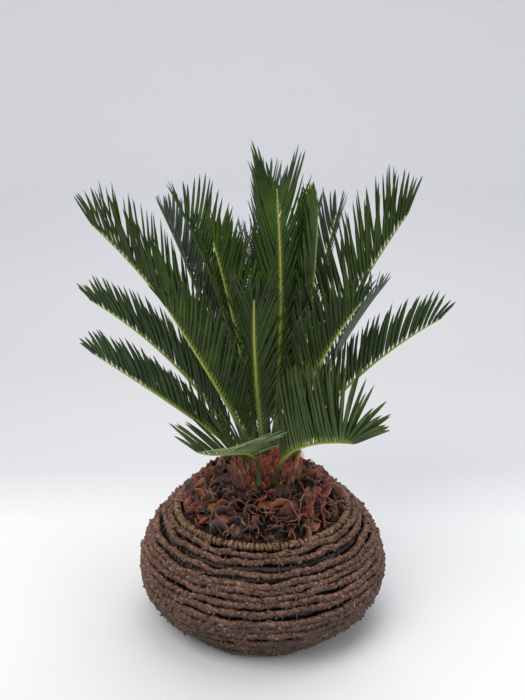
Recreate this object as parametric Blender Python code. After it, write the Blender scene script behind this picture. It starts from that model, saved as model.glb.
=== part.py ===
"""A potted sago palm: a squat coiled-vine pot filled with soil and bark, a short trunk and a crown of fronds.

Metres, +Z up. The origin is the centre of the pot's flat underside, which stands on the ground.
"""

import math
import random
from dataclasses import dataclass

import bmesh
import bpy
from mathutils import Matrix, Vector
from mathutils.bvhtree import BVHTree

SEED = 4105

# Clearances
TOUCH_GAP = 0.0003          # between pieces that touch
LEAF_GAP = 0.0005           # between a leaflet and any neighbour

# Pot: coils of vine stacked on a bulging outline
BELLY_RADIUS = 0.134        # to the centre of the widest coil
BELLY_HEIGHT = 0.062
UPPER_SPAN = 0.1027         # half height of the outline above the belly
LOWER_SPAN = 0.0873         # half height of the outline below the belly
OUTLINE_POWER = 1.85
COIL_RADIUS = 0.0060
COIL_SHARES = (             # how far up the outline each coil lies
    0.0, 0.075, 0.155, 0.235, 0.320, 0.400, 0.460, 0.517, 0.588, 0.648, 0.706, 0.757, 0.800, 0.872, 1.0,
)
GROOVE_DEPTH = 0.0038
FIRST_COIL_HEIGHT = 0.0060
RIM_HEIGHT = 0.1300         # to the centre of the rim coil
TOP_COIL_HEIGHT = 0.1218    # to the centre of the coil below it
WALL = 0.012
FLOOR_THICKNESS = 0.010
POT_SEGMENTS = 32
INNER_HEIGHTS = (0.104, 0.086, 0.062, 0.040, 0.022)
KNOBBLE = 0.0013            # random unevenness of the coils

# Soil, bark and trunk
PLANT_X = 0.005             # the plant stands this far to the right of the pot's middle
SOIL_TOP = 0.118
BARK_THROAT = 0.0884        # outer radius of the bark inside the rim
BARK_SEGMENTS = 30
BARK_BUMP = 0.0042
TRUNK_PROFILE = (           # radius, height
    (0.0370, 0.1183),
    (0.0390, 0.1380),
    (0.0400, 0.1580),
    (0.0400, 0.1750),
    (0.0370, 0.1900),
    (0.0300, 0.2010),
    (0.0190, 0.2085),
    (0.0080, 0.2120),
)
TRUNK_SEGMENTS = 20

# Fronds
STALK_STEPS = 5
LEAF_PITCH = 0.0166         # between leaflets along the rib
LEAF_COVER = 0.80           # leaflet width as a share of the room it has
LEAF_THICKNESS = 0.0011
LEAF_TIP_WIDTH = 0.0012
LEAF_BEND = 6.0             # degrees a leaflet turns toward the frond's tip, each side of its middle
LEAF_FIRST = 0.52           # length of the first leaflet, as a share of the longest
LENGTH_TRIES = (1.0, 0.82, 0.66, 0.5)
RIB_WIDTH = (0.0062, 0.0020)   # at the base and at the tip
RIB_HEIGHT = (0.0052, 0.0018)
TERMINAL_LENGTH = 0.012
SEAT_STEPS = 12             # tries at resting a stalk on the trunk


@dataclass(frozen=True)
class Frond:
    """One frond: where its stalk leaves the trunk, how its rib arches and how its leaflets stand.

    azimuth, rise_base, rise_tip and drift are degrees: the compass direction of the rib, its slope above
    level at either end, and how far the direction swings on the way. height and radius place the stalk's
    foot. leaf_angle is from the rib at mid frond, leaf_tip is the same at its tip, and leaf_lift is above the
    frond's own plane. leaf_end is the share of the full leaflet length left at the frond's tip. left_angle
    and left_lift are set on a frond whose left row is swept back towards its foot. stalk is the share of the
    length that is bare, sag is how many degrees the slope drops by half-way, fan is how far the last
    leaflets close towards the tip and notch how much shorter they are.
    """

    azimuth: float
    rise_base: float
    rise_tip: float
    length: float
    drift: float
    height: float
    radius: float
    leaf_length: float
    leaf_angle: float
    leaf_lift: float
    leaf_end: float
    leaf_tip: float
    left_angle: float = 0.0
    left_lift: float = 0.0
    stalk: float = 0.1
    sag: float = 0.0
    fan: float = 0.4
    notch: float = 0.4


FRONDS = (
    # Outer fronds
    Frond(229, 44, 39, 0.234, -30, 0.1985, 0.0330, 0.058, 31, 70, 0.62, 34),
    Frond(196, 67, 33, 0.240, -14, 0.1985, 0.0330, 0.060, 31, 70, 0.62, 36),
    Frond(334, 63, 34, 0.231, 13, 0.1985, 0.0330, 0.056, 42, 72, 0.72, 36),
    # The two low fronds in front
    Frond(258, 100, 31, 0.139, -42, 0.1760, 0.0415, 0.062, 38, 76, 0.8, 24, 112, 40, 0.34, 43),
    Frond(280, 59, 11, 0.175, 41, 0.1780, 0.0415, 0.080, 70, 86, 0.95, 88, 0, 0, 0.27, 0, 0.7),
    # Outer fronds at the back
    Frond(42, 62, 31, 0.222, 5, 0.1865, 0.0392, 0.058, 34, 66, 0.62, 36),
    Frond(76, 64, 27, 0.235, 4, 0.1865, 0.0392, 0.058, 34, 66, 0.62, 36),
    Frond(112, 63, 25, 0.240, -5, 0.1860, 0.0392, 0.058, 34, 66, 0.62, 36),
    Frond(130, 64, 26, 0.200, 5, 0.1870, 0.0392, 0.056, 34, 66, 0.62, 36),
    # Middle fronds
    Frond(170, 70, 38, 0.294, -10, 0.2050, 0.0255, 0.088, 31, 73, 0.72, 40),
    Frond(241, 54, 53, 0.254, -5, 0.2040, 0.0265, 0.078, 29, 50, 0.66, 26),
    Frond(259, 67, 55, 0.234, 13, 0.2055, 0.0245, 0.074, 32, 46, 0.70, 22),
    Frond(8, 73, 55, 0.282, 1, 0.2050, 0.0255, 0.088, 44, 74, 0.82, 34),
    Frond(136, 65, 52, 0.270, -3, 0.2050, 0.0255, 0.076, 32, 58, 0.62, 32),
    Frond(102, 61, 40, 0.248, -11, 0.2050, 0.0255, 0.070, 34, 60, 0.62, 34),
    Frond(55, 66, 58, 0.263, 5, 0.2050, 0.0255, 0.074, 32, 58, 0.66, 32),
    Frond(308, 69, 52, 0.222, 8, 0.2050, 0.0255, 0.072, 31, 56, 0.66, 30),
    # Inner fronds, from the top of the trunk
    Frond(295, 77, 100, 0.284, 1, 0.2105, 0.0140, 0.082, 18, 34, 0.95, 15, 30, 12, 0.1, 0, 0.05, 0.9),
    Frond(143, 78, 53, 0.258, -8, 0.2100, 0.0150, 0.088, 37, 52, 0.76, 34, 13, 52),
    Frond(35, 86, 70, 0.242, 0, 0.2105, 0.0140, 0.076, 28, 50, 0.74, 24),
    Frond(351, 74, 90, 0.262, 20, 0.2100, 0.0150, 0.068, 26, 50, 0.74, 22),
    Frond(215, 82, 72, 0.238, 8, 0.2100, 0.0150, 0.072, 29, 50, 0.74, 24),
    Frond(88, 77, 66, 0.278, 4, 0.2100, 0.0150, 0.074, 29, 52, 0.74, 26),
    Frond(255, 86, 84, 0.203, 0, 0.2125, 0.0060, 0.062, 26, 44, 0.8, 22),
)


def lerp(ends, share):
    """The value a given share of the way between two ends."""
    return ends[0] + (ends[1] - ends[0]) * share


def smooth_step(value):
    """0 to 1 with a level start and end."""
    value = min(max(value, 0.0), 1.0)
    return value * value * (3.0 - 2.0 * value)


def new_material(name, colour, roughness):
    """A plain Principled material."""
    material = bpy.data.materials.new(name)
    material.diffuse_color = (*colour, 1.0)
    material.use_nodes = True
    shader = material.node_tree.nodes["Principled BSDF"]
    shader.inputs["Base Color"].default_value = (*colour, 1.0)
    shader.inputs["Roughness"].default_value = roughness
    return material


def add_object(name, bm, material):
    """An object of the parts collection that holds this bmesh."""
    bmesh.ops.recalc_face_normals(bm, faces=bm.faces)
    mesh = bpy.data.meshes.new(name)
    bm.to_mesh(mesh)
    mesh.materials.append(material)
    obj = bpy.data.objects.new(name, mesh)
    bpy.data.collections["potted_sago_palm"].objects.link(obj)
    return obj


def turned(profile, segments):
    """A bmesh turned about Z from (radius, height) points. A profile that doesn't end on the axis is a ring."""
    bm = bmesh.new()
    points = [bm.verts.new((radius, 0.0, height)) for radius, height in profile]
    for first, second in zip(points, points[1:]):
        bm.edges.new((first, second))
    bmesh.ops.spin(
        bm,
        geom=bm.verts[:] + bm.edges[:],
        cent=(0.0, 0.0, 0.0),
        axis=(0.0, 0.0, 1.0),
        angle=math.tau,
        steps=segments,
        use_merge=True,
    )
    bmesh.ops.remove_doubles(bm, verts=bm.verts[:], dist=1e-6)
    return bm


def outline_radius(height):
    """Radius of the pot's coil centres at a height."""
    span = UPPER_SPAN if height > BELLY_HEIGHT else LOWER_SPAN
    share = abs(height - BELLY_HEIGHT) / span
    return BELLY_RADIUS * (1.0 - share**OUTLINE_POWER) ** (1.0 / OUTLINE_POWER)


def outline_points(first, last, shares):
    """Points at these shares of the pot's outline between two heights, each with its outward normal."""
    steps = 400
    heights = [lerp((first, last), i / steps) for i in range(steps + 1)]
    path = [Vector((outline_radius(height), height)) for height in heights]
    lengths = [0.0]
    for a, b in zip(path, path[1:]):
        lengths.append(lengths[-1] + (b - a).length)
    found = []
    for share in shares:
        wanted = lengths[-1] * share
        at = min(range(steps + 1), key=lambda k: abs(lengths[k] - wanted))
        along = (path[min(at + 1, steps)] - path[max(at - 1, 0)]).normalized()
        found.append((path[at], Vector((along.y, -along.x))))
    return found


def build_pot(material, rng):
    """The woven wall and floor as one ring-shaped wall of coils on a flat underside."""
    # A bulge at each coil and a groove between each two
    shares = [COIL_SHARES[0]]
    for low, high in zip(COIL_SHARES, COIL_SHARES[1:]):
        shares.extend(((low + high) / 2.0, high))
    stations = outline_points(FIRST_COIL_HEIGHT, TOP_COIL_HEIGHT, shares)
    outer = [(0.0, 0.0), (outline_radius(FIRST_COIL_HEIGHT), 0.0)]
    for index, (centre, normal) in enumerate(stations):
        along = Vector((-normal.y, normal.x)) * COIL_RADIUS * 0.6
        if index % 2:
            point = centre + normal * (COIL_RADIUS - GROOVE_DEPTH)
            outer.append(tuple(point))
            continue
        for share in (-0.5, 0.5):
            point = centre + normal * COIL_RADIUS + along * share
            outer.append((point.x, max(point.y, 0.0)))
    outer.append(tuple(centre + along / 0.6))
    lip = outline_radius(TOP_COIL_HEIGHT) - COIL_RADIUS
    inner = [(lip, TOP_COIL_HEIGHT), (lip - 0.004, TOP_COIL_HEIGHT - COIL_RADIUS)]
    for height in INNER_HEIGHTS:
        inner.append((outline_radius(height) - WALL, height))
    inner.append((outline_radius(FLOOR_THICKNESS) - WALL, FLOOR_THICKNESS))
    inner.append((0.0, FLOOR_THICKNESS))
    bm = turned(outer + inner, POT_SEGMENTS)
    for vert in bm.verts:
        flat = math.hypot(vert.co.x, vert.co.y)
        if vert.co.z < FIRST_COIL_HEIGHT * 0.4 or flat < outline_radius(vert.co.z) - COIL_RADIUS * 0.2:
            continue
        share = 1.0 + rng.uniform(-KNOBBLE, KNOBBLE) / flat
        vert.co.x *= share
        vert.co.y *= share
    return add_object("pot", bm, material)


def build_rim(material, rng):
    """The wrapped coil round the pot's mouth."""
    radius = outline_radius(RIM_HEIGHT)
    bm = turned(
        [
            (
                radius + COIL_RADIUS * math.cos(math.tau * i / 6),
                RIM_HEIGHT + COIL_RADIUS * math.sin(math.tau * i / 6),
            )
            for i in range(7)
        ],
        POT_SEGMENTS,
    )
    for vert in bm.verts:
        vert.co.z += rng.uniform(0.0, KNOBBLE)
    return add_object("rim_coil", bm, material)


def build_soil(material):
    """Soil that fills the pot up to the trunk's foot."""
    gap = WALL + TOUCH_GAP
    bottom = FLOOR_THICKNESS + TOUCH_GAP
    profile = [(0.0, bottom), (outline_radius(FLOOR_THICKNESS) - gap - 0.001, bottom)]
    for height in reversed(INNER_HEIGHTS):
        profile.append((outline_radius(height) - gap, height))
    profile.append((outline_radius(INNER_HEIGHTS[0]) - gap - 0.0095, 0.1115))
    profile.append((BARK_THROAT - 0.004, SOIL_TOP - 0.003))
    profile.append((0.0, SOIL_TOP - 0.003))
    return add_object("soil", turned(profile, POT_SEGMENTS), material)


def build_bark(material, rng):
    """The loose heap of curled bark round the trunk's foot."""
    under = SOIL_TOP - 0.003 + TOUCH_GAP
    inner = TRUNK_PROFILE[2][0] + TOUCH_GAP + 0.0005
    top = [
        (inner, 0.1640),
        (0.0510, 0.1690),
        (0.0600, 0.1650),
        (0.0700, 0.1550),
        (0.0800, 0.1410),
        (BARK_THROAT, 0.1285),
    ]
    profile = [(inner, under), *top, (BARK_THROAT, 0.1225), (BARK_THROAT - 0.005, under), (inner, under)]
    bm = turned(profile, BARK_SEGMENTS)
    for vert in bm.verts:
        flat = math.hypot(vert.co.x, vert.co.y)
        if vert.co.z > 0.126 and inner + 0.002 < flat < BARK_THROAT - 0.002:
            vert.co.z += rng.uniform(-BARK_BUMP, BARK_BUMP)
        vert.co.x += PLANT_X * min(max((BARK_THROAT - flat) / (BARK_THROAT - inner), 0.0), 1.0)
    return add_object("bark_mulch", bm, material)


def build_trunk(material):
    """The short woody trunk, cut flat where it stands in the soil."""
    profile = [(0.0, TRUNK_PROFILE[0][1]), *TRUNK_PROFILE, (0.0, TRUNK_PROFILE[-1][1] + 0.001)]
    bm = turned(profile, TRUNK_SEGMENTS)
    bmesh.ops.translate(bm, verts=bm.verts[:], vec=(PLANT_X, 0.0, 0.0))
    return add_object("trunk", bm, material)


@dataclass
class Station:
    """A place on a frond's rib, with the rib's direction, its upper side and its right side."""

    point: Vector
    along: Vector
    upper: Vector
    side: Vector


def foot_of(frond):
    """Where the stalk leaves the trunk, as the table gives it."""
    foot = Vector((frond.radius, 0.0, frond.height))
    foot.rotate(Matrix.Rotation(math.radians(frond.azimuth), 3, "Z"))
    foot.x += PLANT_X
    return foot


def rib_path(frond, foot, shares):
    """Stations on the rib at these shares of its length."""
    fine = 120
    place = foot.copy()
    points = [place.copy()]
    for i in range(fine):
        along = rib_frame(frond, (i + 0.5) / fine)[0]
        place = place + along * (frond.length / fine)
        points.append(place.copy())
    stations = []
    for share in shares:
        at = share * fine
        low = min(int(at), fine - 1)
        point = points[low].lerp(points[low + 1], at - low)
        stations.append(Station(point, *rib_frame(frond, share)))
    return stations


def rib_frame(frond, share):
    """Direction, upper side and right side of the rib at a share of its length."""
    rise = math.radians(lerp((frond.rise_base, frond.rise_tip), share) - frond.sag * 4.0 * share * (1.0 - share))
    turn = math.radians(frond.azimuth + frond.drift * share)
    out = Vector((math.cos(turn), math.sin(turn), 0.0))
    up = Vector((0.0, 0.0, 1.0))
    along = out * math.cos(rise) + up * math.sin(rise)
    upper = up * math.cos(rise) - out * math.sin(rise)
    return along, upper, along.cross(upper)


def rib_section(station, share, grow=0.0):
    """Corners of the rib's three-sided section: lower left, lower right and ridge."""
    half = lerp(RIB_WIDTH, share) / 2.0 + grow
    height = lerp(RIB_HEIGHT, share) + 2.0 * grow
    under = station.point - station.upper * (height / 2.0)
    return [
        under - station.side * half,
        under + station.side * half,
        station.point + station.upper * (height / 2.0),
    ]


def leaf_sections(frond, share, start, pitch, station, hand, scale, turned_by, grow=0.0):
    """Corners of a leaflet's middle and the two ends of its tip, on the right (hand 1) or left (hand -1)."""
    outward = (share - frond.stalk) / (1.0 - frond.stalk)
    angle = min(lerp((2.0 * frond.leaf_angle - frond.leaf_tip, frond.leaf_tip), outward**0.85), 88.0)
    angle *= 1.0 - frond.fan * smooth_step(1.0 + (outward - 1.0) / (0.25 * frond.fan))
    lift = lerp((frond.leaf_lift, frond.leaf_lift * 0.94), outward)
    if hand < 0 and frond.left_angle:
        angle, lift = frond.left_angle, frond.left_lift
    angle += turned_by
    lift = math.radians(lift)
    lateral = station.side * (hand * math.cos(lift)) + station.upper * math.sin(lift)
    normal = station.upper * math.cos(lift) - station.side * (hand * math.sin(lift))
    length = frond.leaf_length * leaf_share(outward, frond.leaf_end, frond.notch) * scale
    width = min(max(pitch * math.sin(math.radians(angle)) * LEAF_COVER, 0.0042), 0.0125) + 2.0 * grow
    thick = LEAF_THICKNESS / 2.0 + grow

    def direction(turn):
        value = math.radians(angle + turn)
        return station.along * math.cos(value) + lateral * math.sin(value)

    def across(turn):
        value = math.radians(angle + turn)
        return station.along * math.sin(value) - lateral * math.cos(value)

    middle = start + direction(LEAF_BEND) * length * 0.42
    tip = middle + direction(-LEAF_BEND) * (length * 0.58 + grow)
    broad = across(0.0) * (width / 2.0)
    high = normal * thick
    mid = [middle - broad + high, middle - broad - high, middle + broad - high, middle + broad + high]
    end = across(-LEAF_BEND) * (LEAF_TIP_WIDTH / 2.0 + grow)
    return mid, [tip - end, tip + end]


def leaf_share(outward, end, notch):
    """Leaflet length along the frond, as a share of the longest."""
    rising = lerp((LEAF_FIRST, 1.0), smooth_step(outward / 0.28))
    falling = lerp((1.0, end), smooth_step((outward - 0.55) / 0.45))
    return rising * falling * (1.0 - notch * smooth_step((outward - 0.88) / 0.12))


def tree_of(points, faces):
    """A search tree of these faces."""
    return BVHTree.FromPolygons(points, faces)


def tree_of_object(obj):
    """A search tree of an object's mesh."""
    return tree_of([v.co.copy() for v in obj.data.vertices], [tuple(p.vertices) for p in obj.data.polygons])


class FrondBuilder:
    """Lays out one frond, then leaflet by leaflet keeps those that clear everything else."""

    def __init__(self, number, frond):
        self.name = f"frond_{number:02d}"
        self.frond = frond
        self.rng = random.Random(SEED + number)
        leafy = frond.length * (1.0 - frond.stalk)
        pitch = LEAF_PITCH * (0.78 if frond.leaf_angle > 60.0 else 1.0)
        self.pairs = max(8, round(leafy / pitch))
        self.pitch = leafy / self.pairs
        stalk = [frond.stalk * i / STALK_STEPS for i in range(STALK_STEPS)]
        self.shares = stalk + [lerp((frond.stalk, 1.0), i / self.pairs) for i in range(self.pairs + 1)]
        self.foot = foot_of(frond)
        self.stations = rib_path(frond, self.foot, self.shares)
        self.leaves = {}

    def seat(self, trunk_tree):
        """Moves the foot until the stalk just clears the trunk."""
        for _ in range(SEAT_STEPS):
            nearest = None
            for station, share in zip(self.stations[: STALK_STEPS + 2], self.shares):
                left, right, ridge = rib_section(station, share)
                for point in (left, left.lerp(right, 0.25), left.lerp(right, 0.5), left.lerp(right, 0.75), right, ridge):
                    spot, normal, _, _ = trunk_tree.find_nearest(point)
                    height = (point - spot).dot(normal)
                    if nearest is None or height < nearest[0]:
                        nearest = (height, normal)
            self.foot = self.foot - nearest[1] * (nearest[0] - TOUCH_GAP)
            self.stations = rib_path(self.frond, self.foot, self.shares)

    def rib_tree(self):
        """The bare rib, grown by the leaflet gap."""
        points = []
        faces = []
        for station, share in zip(self.stations, self.shares):
            points.extend(rib_section(station, share, LEAF_GAP))
        for i in range(len(self.shares) - 1):
            for a, b in ((0, 1), (1, 2), (2, 0)):
                faces.append((3 * i + a, 3 * i + b, 3 * i + 3 + b, 3 * i + 3 + a))
        faces.append((0, 1, 2))
        last = 3 * len(self.shares)
        faces.append((last - 3, last - 2, last - 1))
        points.append(self.terminal())
        tip = len(points) - 1
        faces.extend(((last - 3, last - 2, tip), (last - 2, last - 1, tip), (last - 1, last - 3, tip)))
        return tree_of(points, faces)

    def terminal(self):
        """Point of the leaflet that ends the frond."""
        return self.stations[-1].point + self.stations[-1].along * TERMINAL_LENGTH

    def root_corners(self, index, hand):
        """The rib's upper face that a leaflet grows from: near ridge, near edge, far edge, far ridge."""
        near = rib_section(self.stations[index], self.shares[index])
        far = rib_section(self.stations[index + 1], self.shares[index + 1])
        edge = 1 if hand > 0 else 0
        return [near[2], near[edge], far[edge], far[2]]

    def place_leaves(self, obstacles):
        """Keeps the longest version of each leaflet that clears the obstacles. Returns the leaflets' tree."""
        points = []
        faces = []
        for index in range(STALK_STEPS, len(self.shares) - 1):
            share = (self.shares[index] + self.shares[index + 1]) / 2.0
            station = rib_path(self.frond, self.foot, [share])[0]
            for hand in (-1, 1):
                root = self.root_corners(index, hand)
                start = sum(root, Vector()) / 4.0
                turn = self.rng.uniform(-1.5, 1.5)
                size = self.rng.uniform(0.96, 1.04)
                for scale in LENGTH_TRIES:
                    args = (self.frond, share, start, self.pitch, station, hand, scale * size, turn)
                    mid, tip = leaf_sections(*args, grow=LEAF_GAP)
                    shape = root + mid + tip
                    sides = (
                        (0, 1, 5, 4), (1, 2, 6, 5), (2, 3, 7, 6), (3, 0, 4, 7),
                        (4, 5, 8), (5, 6, 9, 8), (6, 7, 9), (7, 4, 8, 9),
                    )
                    tree = tree_of(shape, sides)
                    if any(tree.overlap(other) for other in obstacles):
                        continue
                    self.leaves[index, hand] = leaf_sections(*args)
                    offset = len(points)
                    points.extend(shape)
                    faces.extend(tuple(offset + corner for corner in side) for side in sides)
                    break
        return tree_of(points, faces) if points else None

    def build(self, material):
        """The frond as one closed body: a lofted rib with its side faces drawn out into leaflets."""
        bm = bmesh.new()
        rings = [
            [bm.verts.new(corner) for corner in rib_section(station, share)]
            for station, share in zip(self.stations, self.shares)
        ]
        side_faces = {}
        for index, (near, far) in enumerate(zip(rings, rings[1:])):
            bm.faces.new((near[0], near[1], far[1], far[0]))
            side_faces[index, 1] = bm.faces.new((near[1], near[2], far[2], far[1]))
            side_faces[index, -1] = bm.faces.new((near[0], near[2], far[2], far[0]))
        bm.faces.new(rings[0])
        tip = bm.verts.new(self.terminal())
        last = rings[-1]
        for a, b in ((0, 1), (1, 2), (2, 0)):
            bm.faces.new((last[a], last[b], tip))
        bmesh.ops.recalc_face_normals(bm, faces=bm.faces)
        for (index, hand), (mid, ends) in self.leaves.items():
            root = self.root_corners(index, hand)
            face = drawn_out(bm, side_faces[index, hand], root, mid)
            face = drawn_out(bm, face, mid, [ends[0], ends[0], ends[1], ends[1]])
            bmesh.ops.remove_doubles(bm, verts=face.verts[:], dist=1e-7)
        return add_object(self.name, bm, material)


def drawn_out(bm, face, corners, targets):
    """Extrudes a face and moves the copy of each of its corners to the matching target."""
    made = bmesh.ops.extrude_discrete_faces(bm, faces=[face])["faces"][0]
    for vert in made.verts:
        nearest = min(range(4), key=lambda k: (corners[k] - vert.co).length_squared)
        vert.co = targets[nearest]
    return made


def main():
    """Builds every piece of the plant and its pot."""
    for obj in list(bpy.data.objects):
        bpy.data.objects.remove(obj, do_unlink=True)
    parts = bpy.data.collections.new("potted_sago_palm")
    bpy.context.scene.collection.children.link(parts)
    rng = random.Random(SEED)

    vine = new_material("woven_vine", (0.20, 0.13, 0.09), 0.7)
    wrap = new_material("wrapped_vine", (0.34, 0.22, 0.12), 0.7)
    earth = new_material("soil", (0.05, 0.035, 0.025), 0.9)
    bark = new_material("bark_mulch", (0.28, 0.12, 0.07), 0.8)
    wood = new_material("trunk_scales", (0.36, 0.14, 0.05), 0.8)
    leaf = new_material("leaf", (0.05, 0.12, 0.03), 0.45)

    pot = build_pot(vine, rng)
    rim = build_rim(wrap, rng)
    build_soil(earth)
    heap = build_bark(bark, rng)
    trunk = build_trunk(wood)

    solid_trees = [tree_of_object(obj) for obj in (pot, rim, heap, trunk)]
    builders = [FrondBuilder(number, frond) for number, frond in enumerate(FRONDS, start=1)]
    for builder in builders:
        builder.seat(solid_trees[-1])
    ribs = [builder.rib_tree() for builder in builders]
    placed = []
    for index, builder in enumerate(builders):
        others = ribs[:index] + ribs[index + 1 :]
        tree = builder.place_leaves(solid_trees + others + placed)
        if tree:
            placed.append(tree)
        builder.build(leaf)


main()
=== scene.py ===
"""Dressed scene of a potted sago palm.

A crown of feathery fronds on a short woolly trunk, in a squat pot of coiled vine filled with curled bark.
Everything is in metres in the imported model's own frame, with the pot's underside at the origin.
"""

import logging
import math
from dataclasses import dataclass
from enum import Enum
from typing import Iterable, Sequence

import bmesh
import bpy
import numpy as np
from mathutils import Matrix, Vector, noise


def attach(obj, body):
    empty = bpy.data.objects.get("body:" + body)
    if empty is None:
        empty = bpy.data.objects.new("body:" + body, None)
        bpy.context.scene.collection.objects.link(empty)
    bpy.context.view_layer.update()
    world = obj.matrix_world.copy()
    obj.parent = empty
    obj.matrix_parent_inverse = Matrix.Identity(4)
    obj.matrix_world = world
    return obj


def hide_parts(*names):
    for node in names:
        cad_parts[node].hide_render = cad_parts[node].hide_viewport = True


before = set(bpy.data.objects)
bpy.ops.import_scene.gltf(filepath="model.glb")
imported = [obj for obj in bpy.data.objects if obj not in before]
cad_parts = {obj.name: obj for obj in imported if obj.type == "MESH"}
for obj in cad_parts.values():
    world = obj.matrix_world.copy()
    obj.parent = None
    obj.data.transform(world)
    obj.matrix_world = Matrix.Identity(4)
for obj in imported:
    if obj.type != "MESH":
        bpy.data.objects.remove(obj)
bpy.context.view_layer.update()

Object = bpy.types.Object
Material = bpy.types.Material
Socket = bpy.types.NodeSocket
Random = np.random.Generator
Colour = tuple[float, float, float]
Pair = tuple[float, float]
Stops = Sequence[tuple[float, Colour]]
Path = tuple[np.ndarray, np.ndarray, bool]

LOG = logging.getLogger("sago_palm")
BODY = "root"
SEED = 4105
PLANT_X = 0.005
# Name of the stored facing value that the vine finishes read for painted top light and shade.
UPWARD = "upward"
UP = Vector((0.0, 0.0, 1.0))


def lerp(ends: Sequence[float], share: float) -> float:
    """The value a given share of the way between two ends."""
    return ends[0] + (ends[1] - ends[0]) * share


def smooth_step(value: float) -> float:
    """0 to 1 with a level start and end."""
    value = min(max(value, 0.0), 1.0)
    return value * value * (3.0 - 2.0 * value)


def level_heading(angle: float) -> Vector:
    """The level direction at an angle from +X."""
    return Vector((math.cos(angle), math.sin(angle), 0.0))


def add_node(
    tree: bpy.types.NodeTree, kind: str, links: dict[object, object] | None = None, **settings: object
) -> bpy.types.Node:
    """Adds a node to a tree.

    Args:
        tree: the tree.
        kind: the node's type.
        links: its inputs, by name or number, each a socket or a plain value.
        **settings: the node's own properties.

    Returns:
        The node.
    """
    made = tree.nodes.new(kind)
    for key, value in settings.items():
        setattr(made, key, value)
    for key, value in (links or {}).items():
        set_input(tree, made.inputs[key], value)
    return made


def set_input(tree: bpy.types.NodeTree, socket: Socket, value: object) -> None:
    """Links a socket, or sets it where the value is a plain one."""
    if isinstance(value, Socket):
        tree.links.new(value, socket)
    else:
        socket.default_value = (*value, 1.0) if socket.type == "RGBA" else value


# ---------------------------------------------------------------------------------------------- finishes


class Paint:
    """Builds one material's nodes, a step at a time."""

    def __init__(self, name: str, roughness: float) -> None:
        """Starts a Principled material.

        Args:
            name: the material's name.
            roughness: roughness where nothing else sets it.
        """
        self.material = bpy.data.materials.new(name)
        self.material.use_nodes = True
        self.tree = self.material.node_tree
        self.shader = self.tree.nodes["Principled BSDF"]
        self.coordinates = self.tree.nodes.new("ShaderNodeTexCoord").outputs
        self.set("Roughness", roughness)

    def set(self, label: str, value: object) -> None:
        """Links or sets one of the shader's inputs."""
        set_input(self.tree, self.shader.inputs[label], value)

    def add(self, kind: str, links: dict[object, object], **settings: object) -> Sequence[Socket]:
        """Adds a node and gives its outputs."""
        return add_node(self.tree, kind, links, **settings).outputs

    def noise(
        self,
        scale: float,
        detail: float = 4.0,
        roughness: float = 0.55,
        stretch: tuple[float, float, float] = (1.0, 1.0, 1.0),
        source: str = "Object",
    ) -> Socket:
        """A noise pattern.

        Args:
            scale: features per metre, or per unit of a UV map.
            detail: number of octaves.
            roughness: how strong the small octaves are.
            stretch: scale along each axis.
            source: which coordinates it reads.

        Returns:
            The pattern's value socket.
        """
        mapped = self.add("ShaderNodeMapping", {"Vector": self.coordinates[source], "Scale": stretch})
        links = {"Vector": mapped["Vector"], "Scale": scale, "Detail": detail, "Roughness": roughness}
        return self.add("ShaderNodeTexNoise", links)["Fac"]

    def stored(self, name: str) -> Socket:
        """A value stored on the mesh."""
        return self.add("ShaderNodeAttribute", {}, attribute_name=name)["Fac"]

    def axis(self, number: int, source: str = "UV") -> Socket:
        """One coordinate of the UV map or of the piece itself."""
        return self.add("ShaderNodeSeparateXYZ", {0: self.coordinates[source]})[number]

    def ramp(self, factor: object, stops: Stops) -> Socket:
        """A colour ramp over a value.

        Args:
            factor: the value that drives it.
            stops: positions from 0 to 1 with their colours.

        Returns:
            The colour socket.
        """
        node = add_node(self.tree, "ShaderNodeValToRGB", {"Fac": factor})
        elements = node.color_ramp.elements
        while len(elements) < len(stops):
            elements.new(0.5)
        for element, (place, colour) in zip(elements, stops):
            element.position = place
            element.color = (*colour, 1.0)
        return node.outputs["Color"]

    def level(self, factor: object, low: float, high: float) -> Socket:
        """Stretches a value so that low becomes 0 and high becomes 1."""
        return self.add("ShaderNodeMapRange", {"Value": factor, "From Min": low, "From Max": high})["Result"]

    def maths(self, operation: str, first: object, second: object = 0.0) -> Socket:
        """One arithmetic step."""
        return self.add("ShaderNodeMath", {0: first, 1: second}, operation=operation)[0]

    def mix(self, factor: object, first: object, second: object, blend: str = "MIX") -> Socket:
        """Blends two colours.

        Args:
            factor: share of the second colour.
            first: the colour at 0.
            second: the colour at 1.
            blend: the blend type.

        Returns:
            The colour socket.
        """
        node = add_node(self.tree, "ShaderNodeMix", {0: factor}, data_type="RGBA", blend_type=blend)
        colours = [socket for socket in node.inputs if socket.type == "RGBA"]
        for socket, colour in zip(colours, (first, second)):
            set_input(self.tree, socket, colour)
        return next(socket for socket in node.outputs if socket.type == "RGBA")

    def shade(self, share: float, base: object, factor: object, stops: Stops) -> Socket:
        """Multiplies a colour by a ramp over a value, by a share."""
        return self.mix(share, base, self.ramp(factor, stops), "MULTIPLY")

    def bump(self, height: object, strength: float, distance: float) -> None:
        """Adds surface relief."""
        links = {"Height": height, "Strength": strength, "Distance": distance}
        self.set("Normal", self.add("ShaderNodeBump", links)["Normal"])


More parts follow.
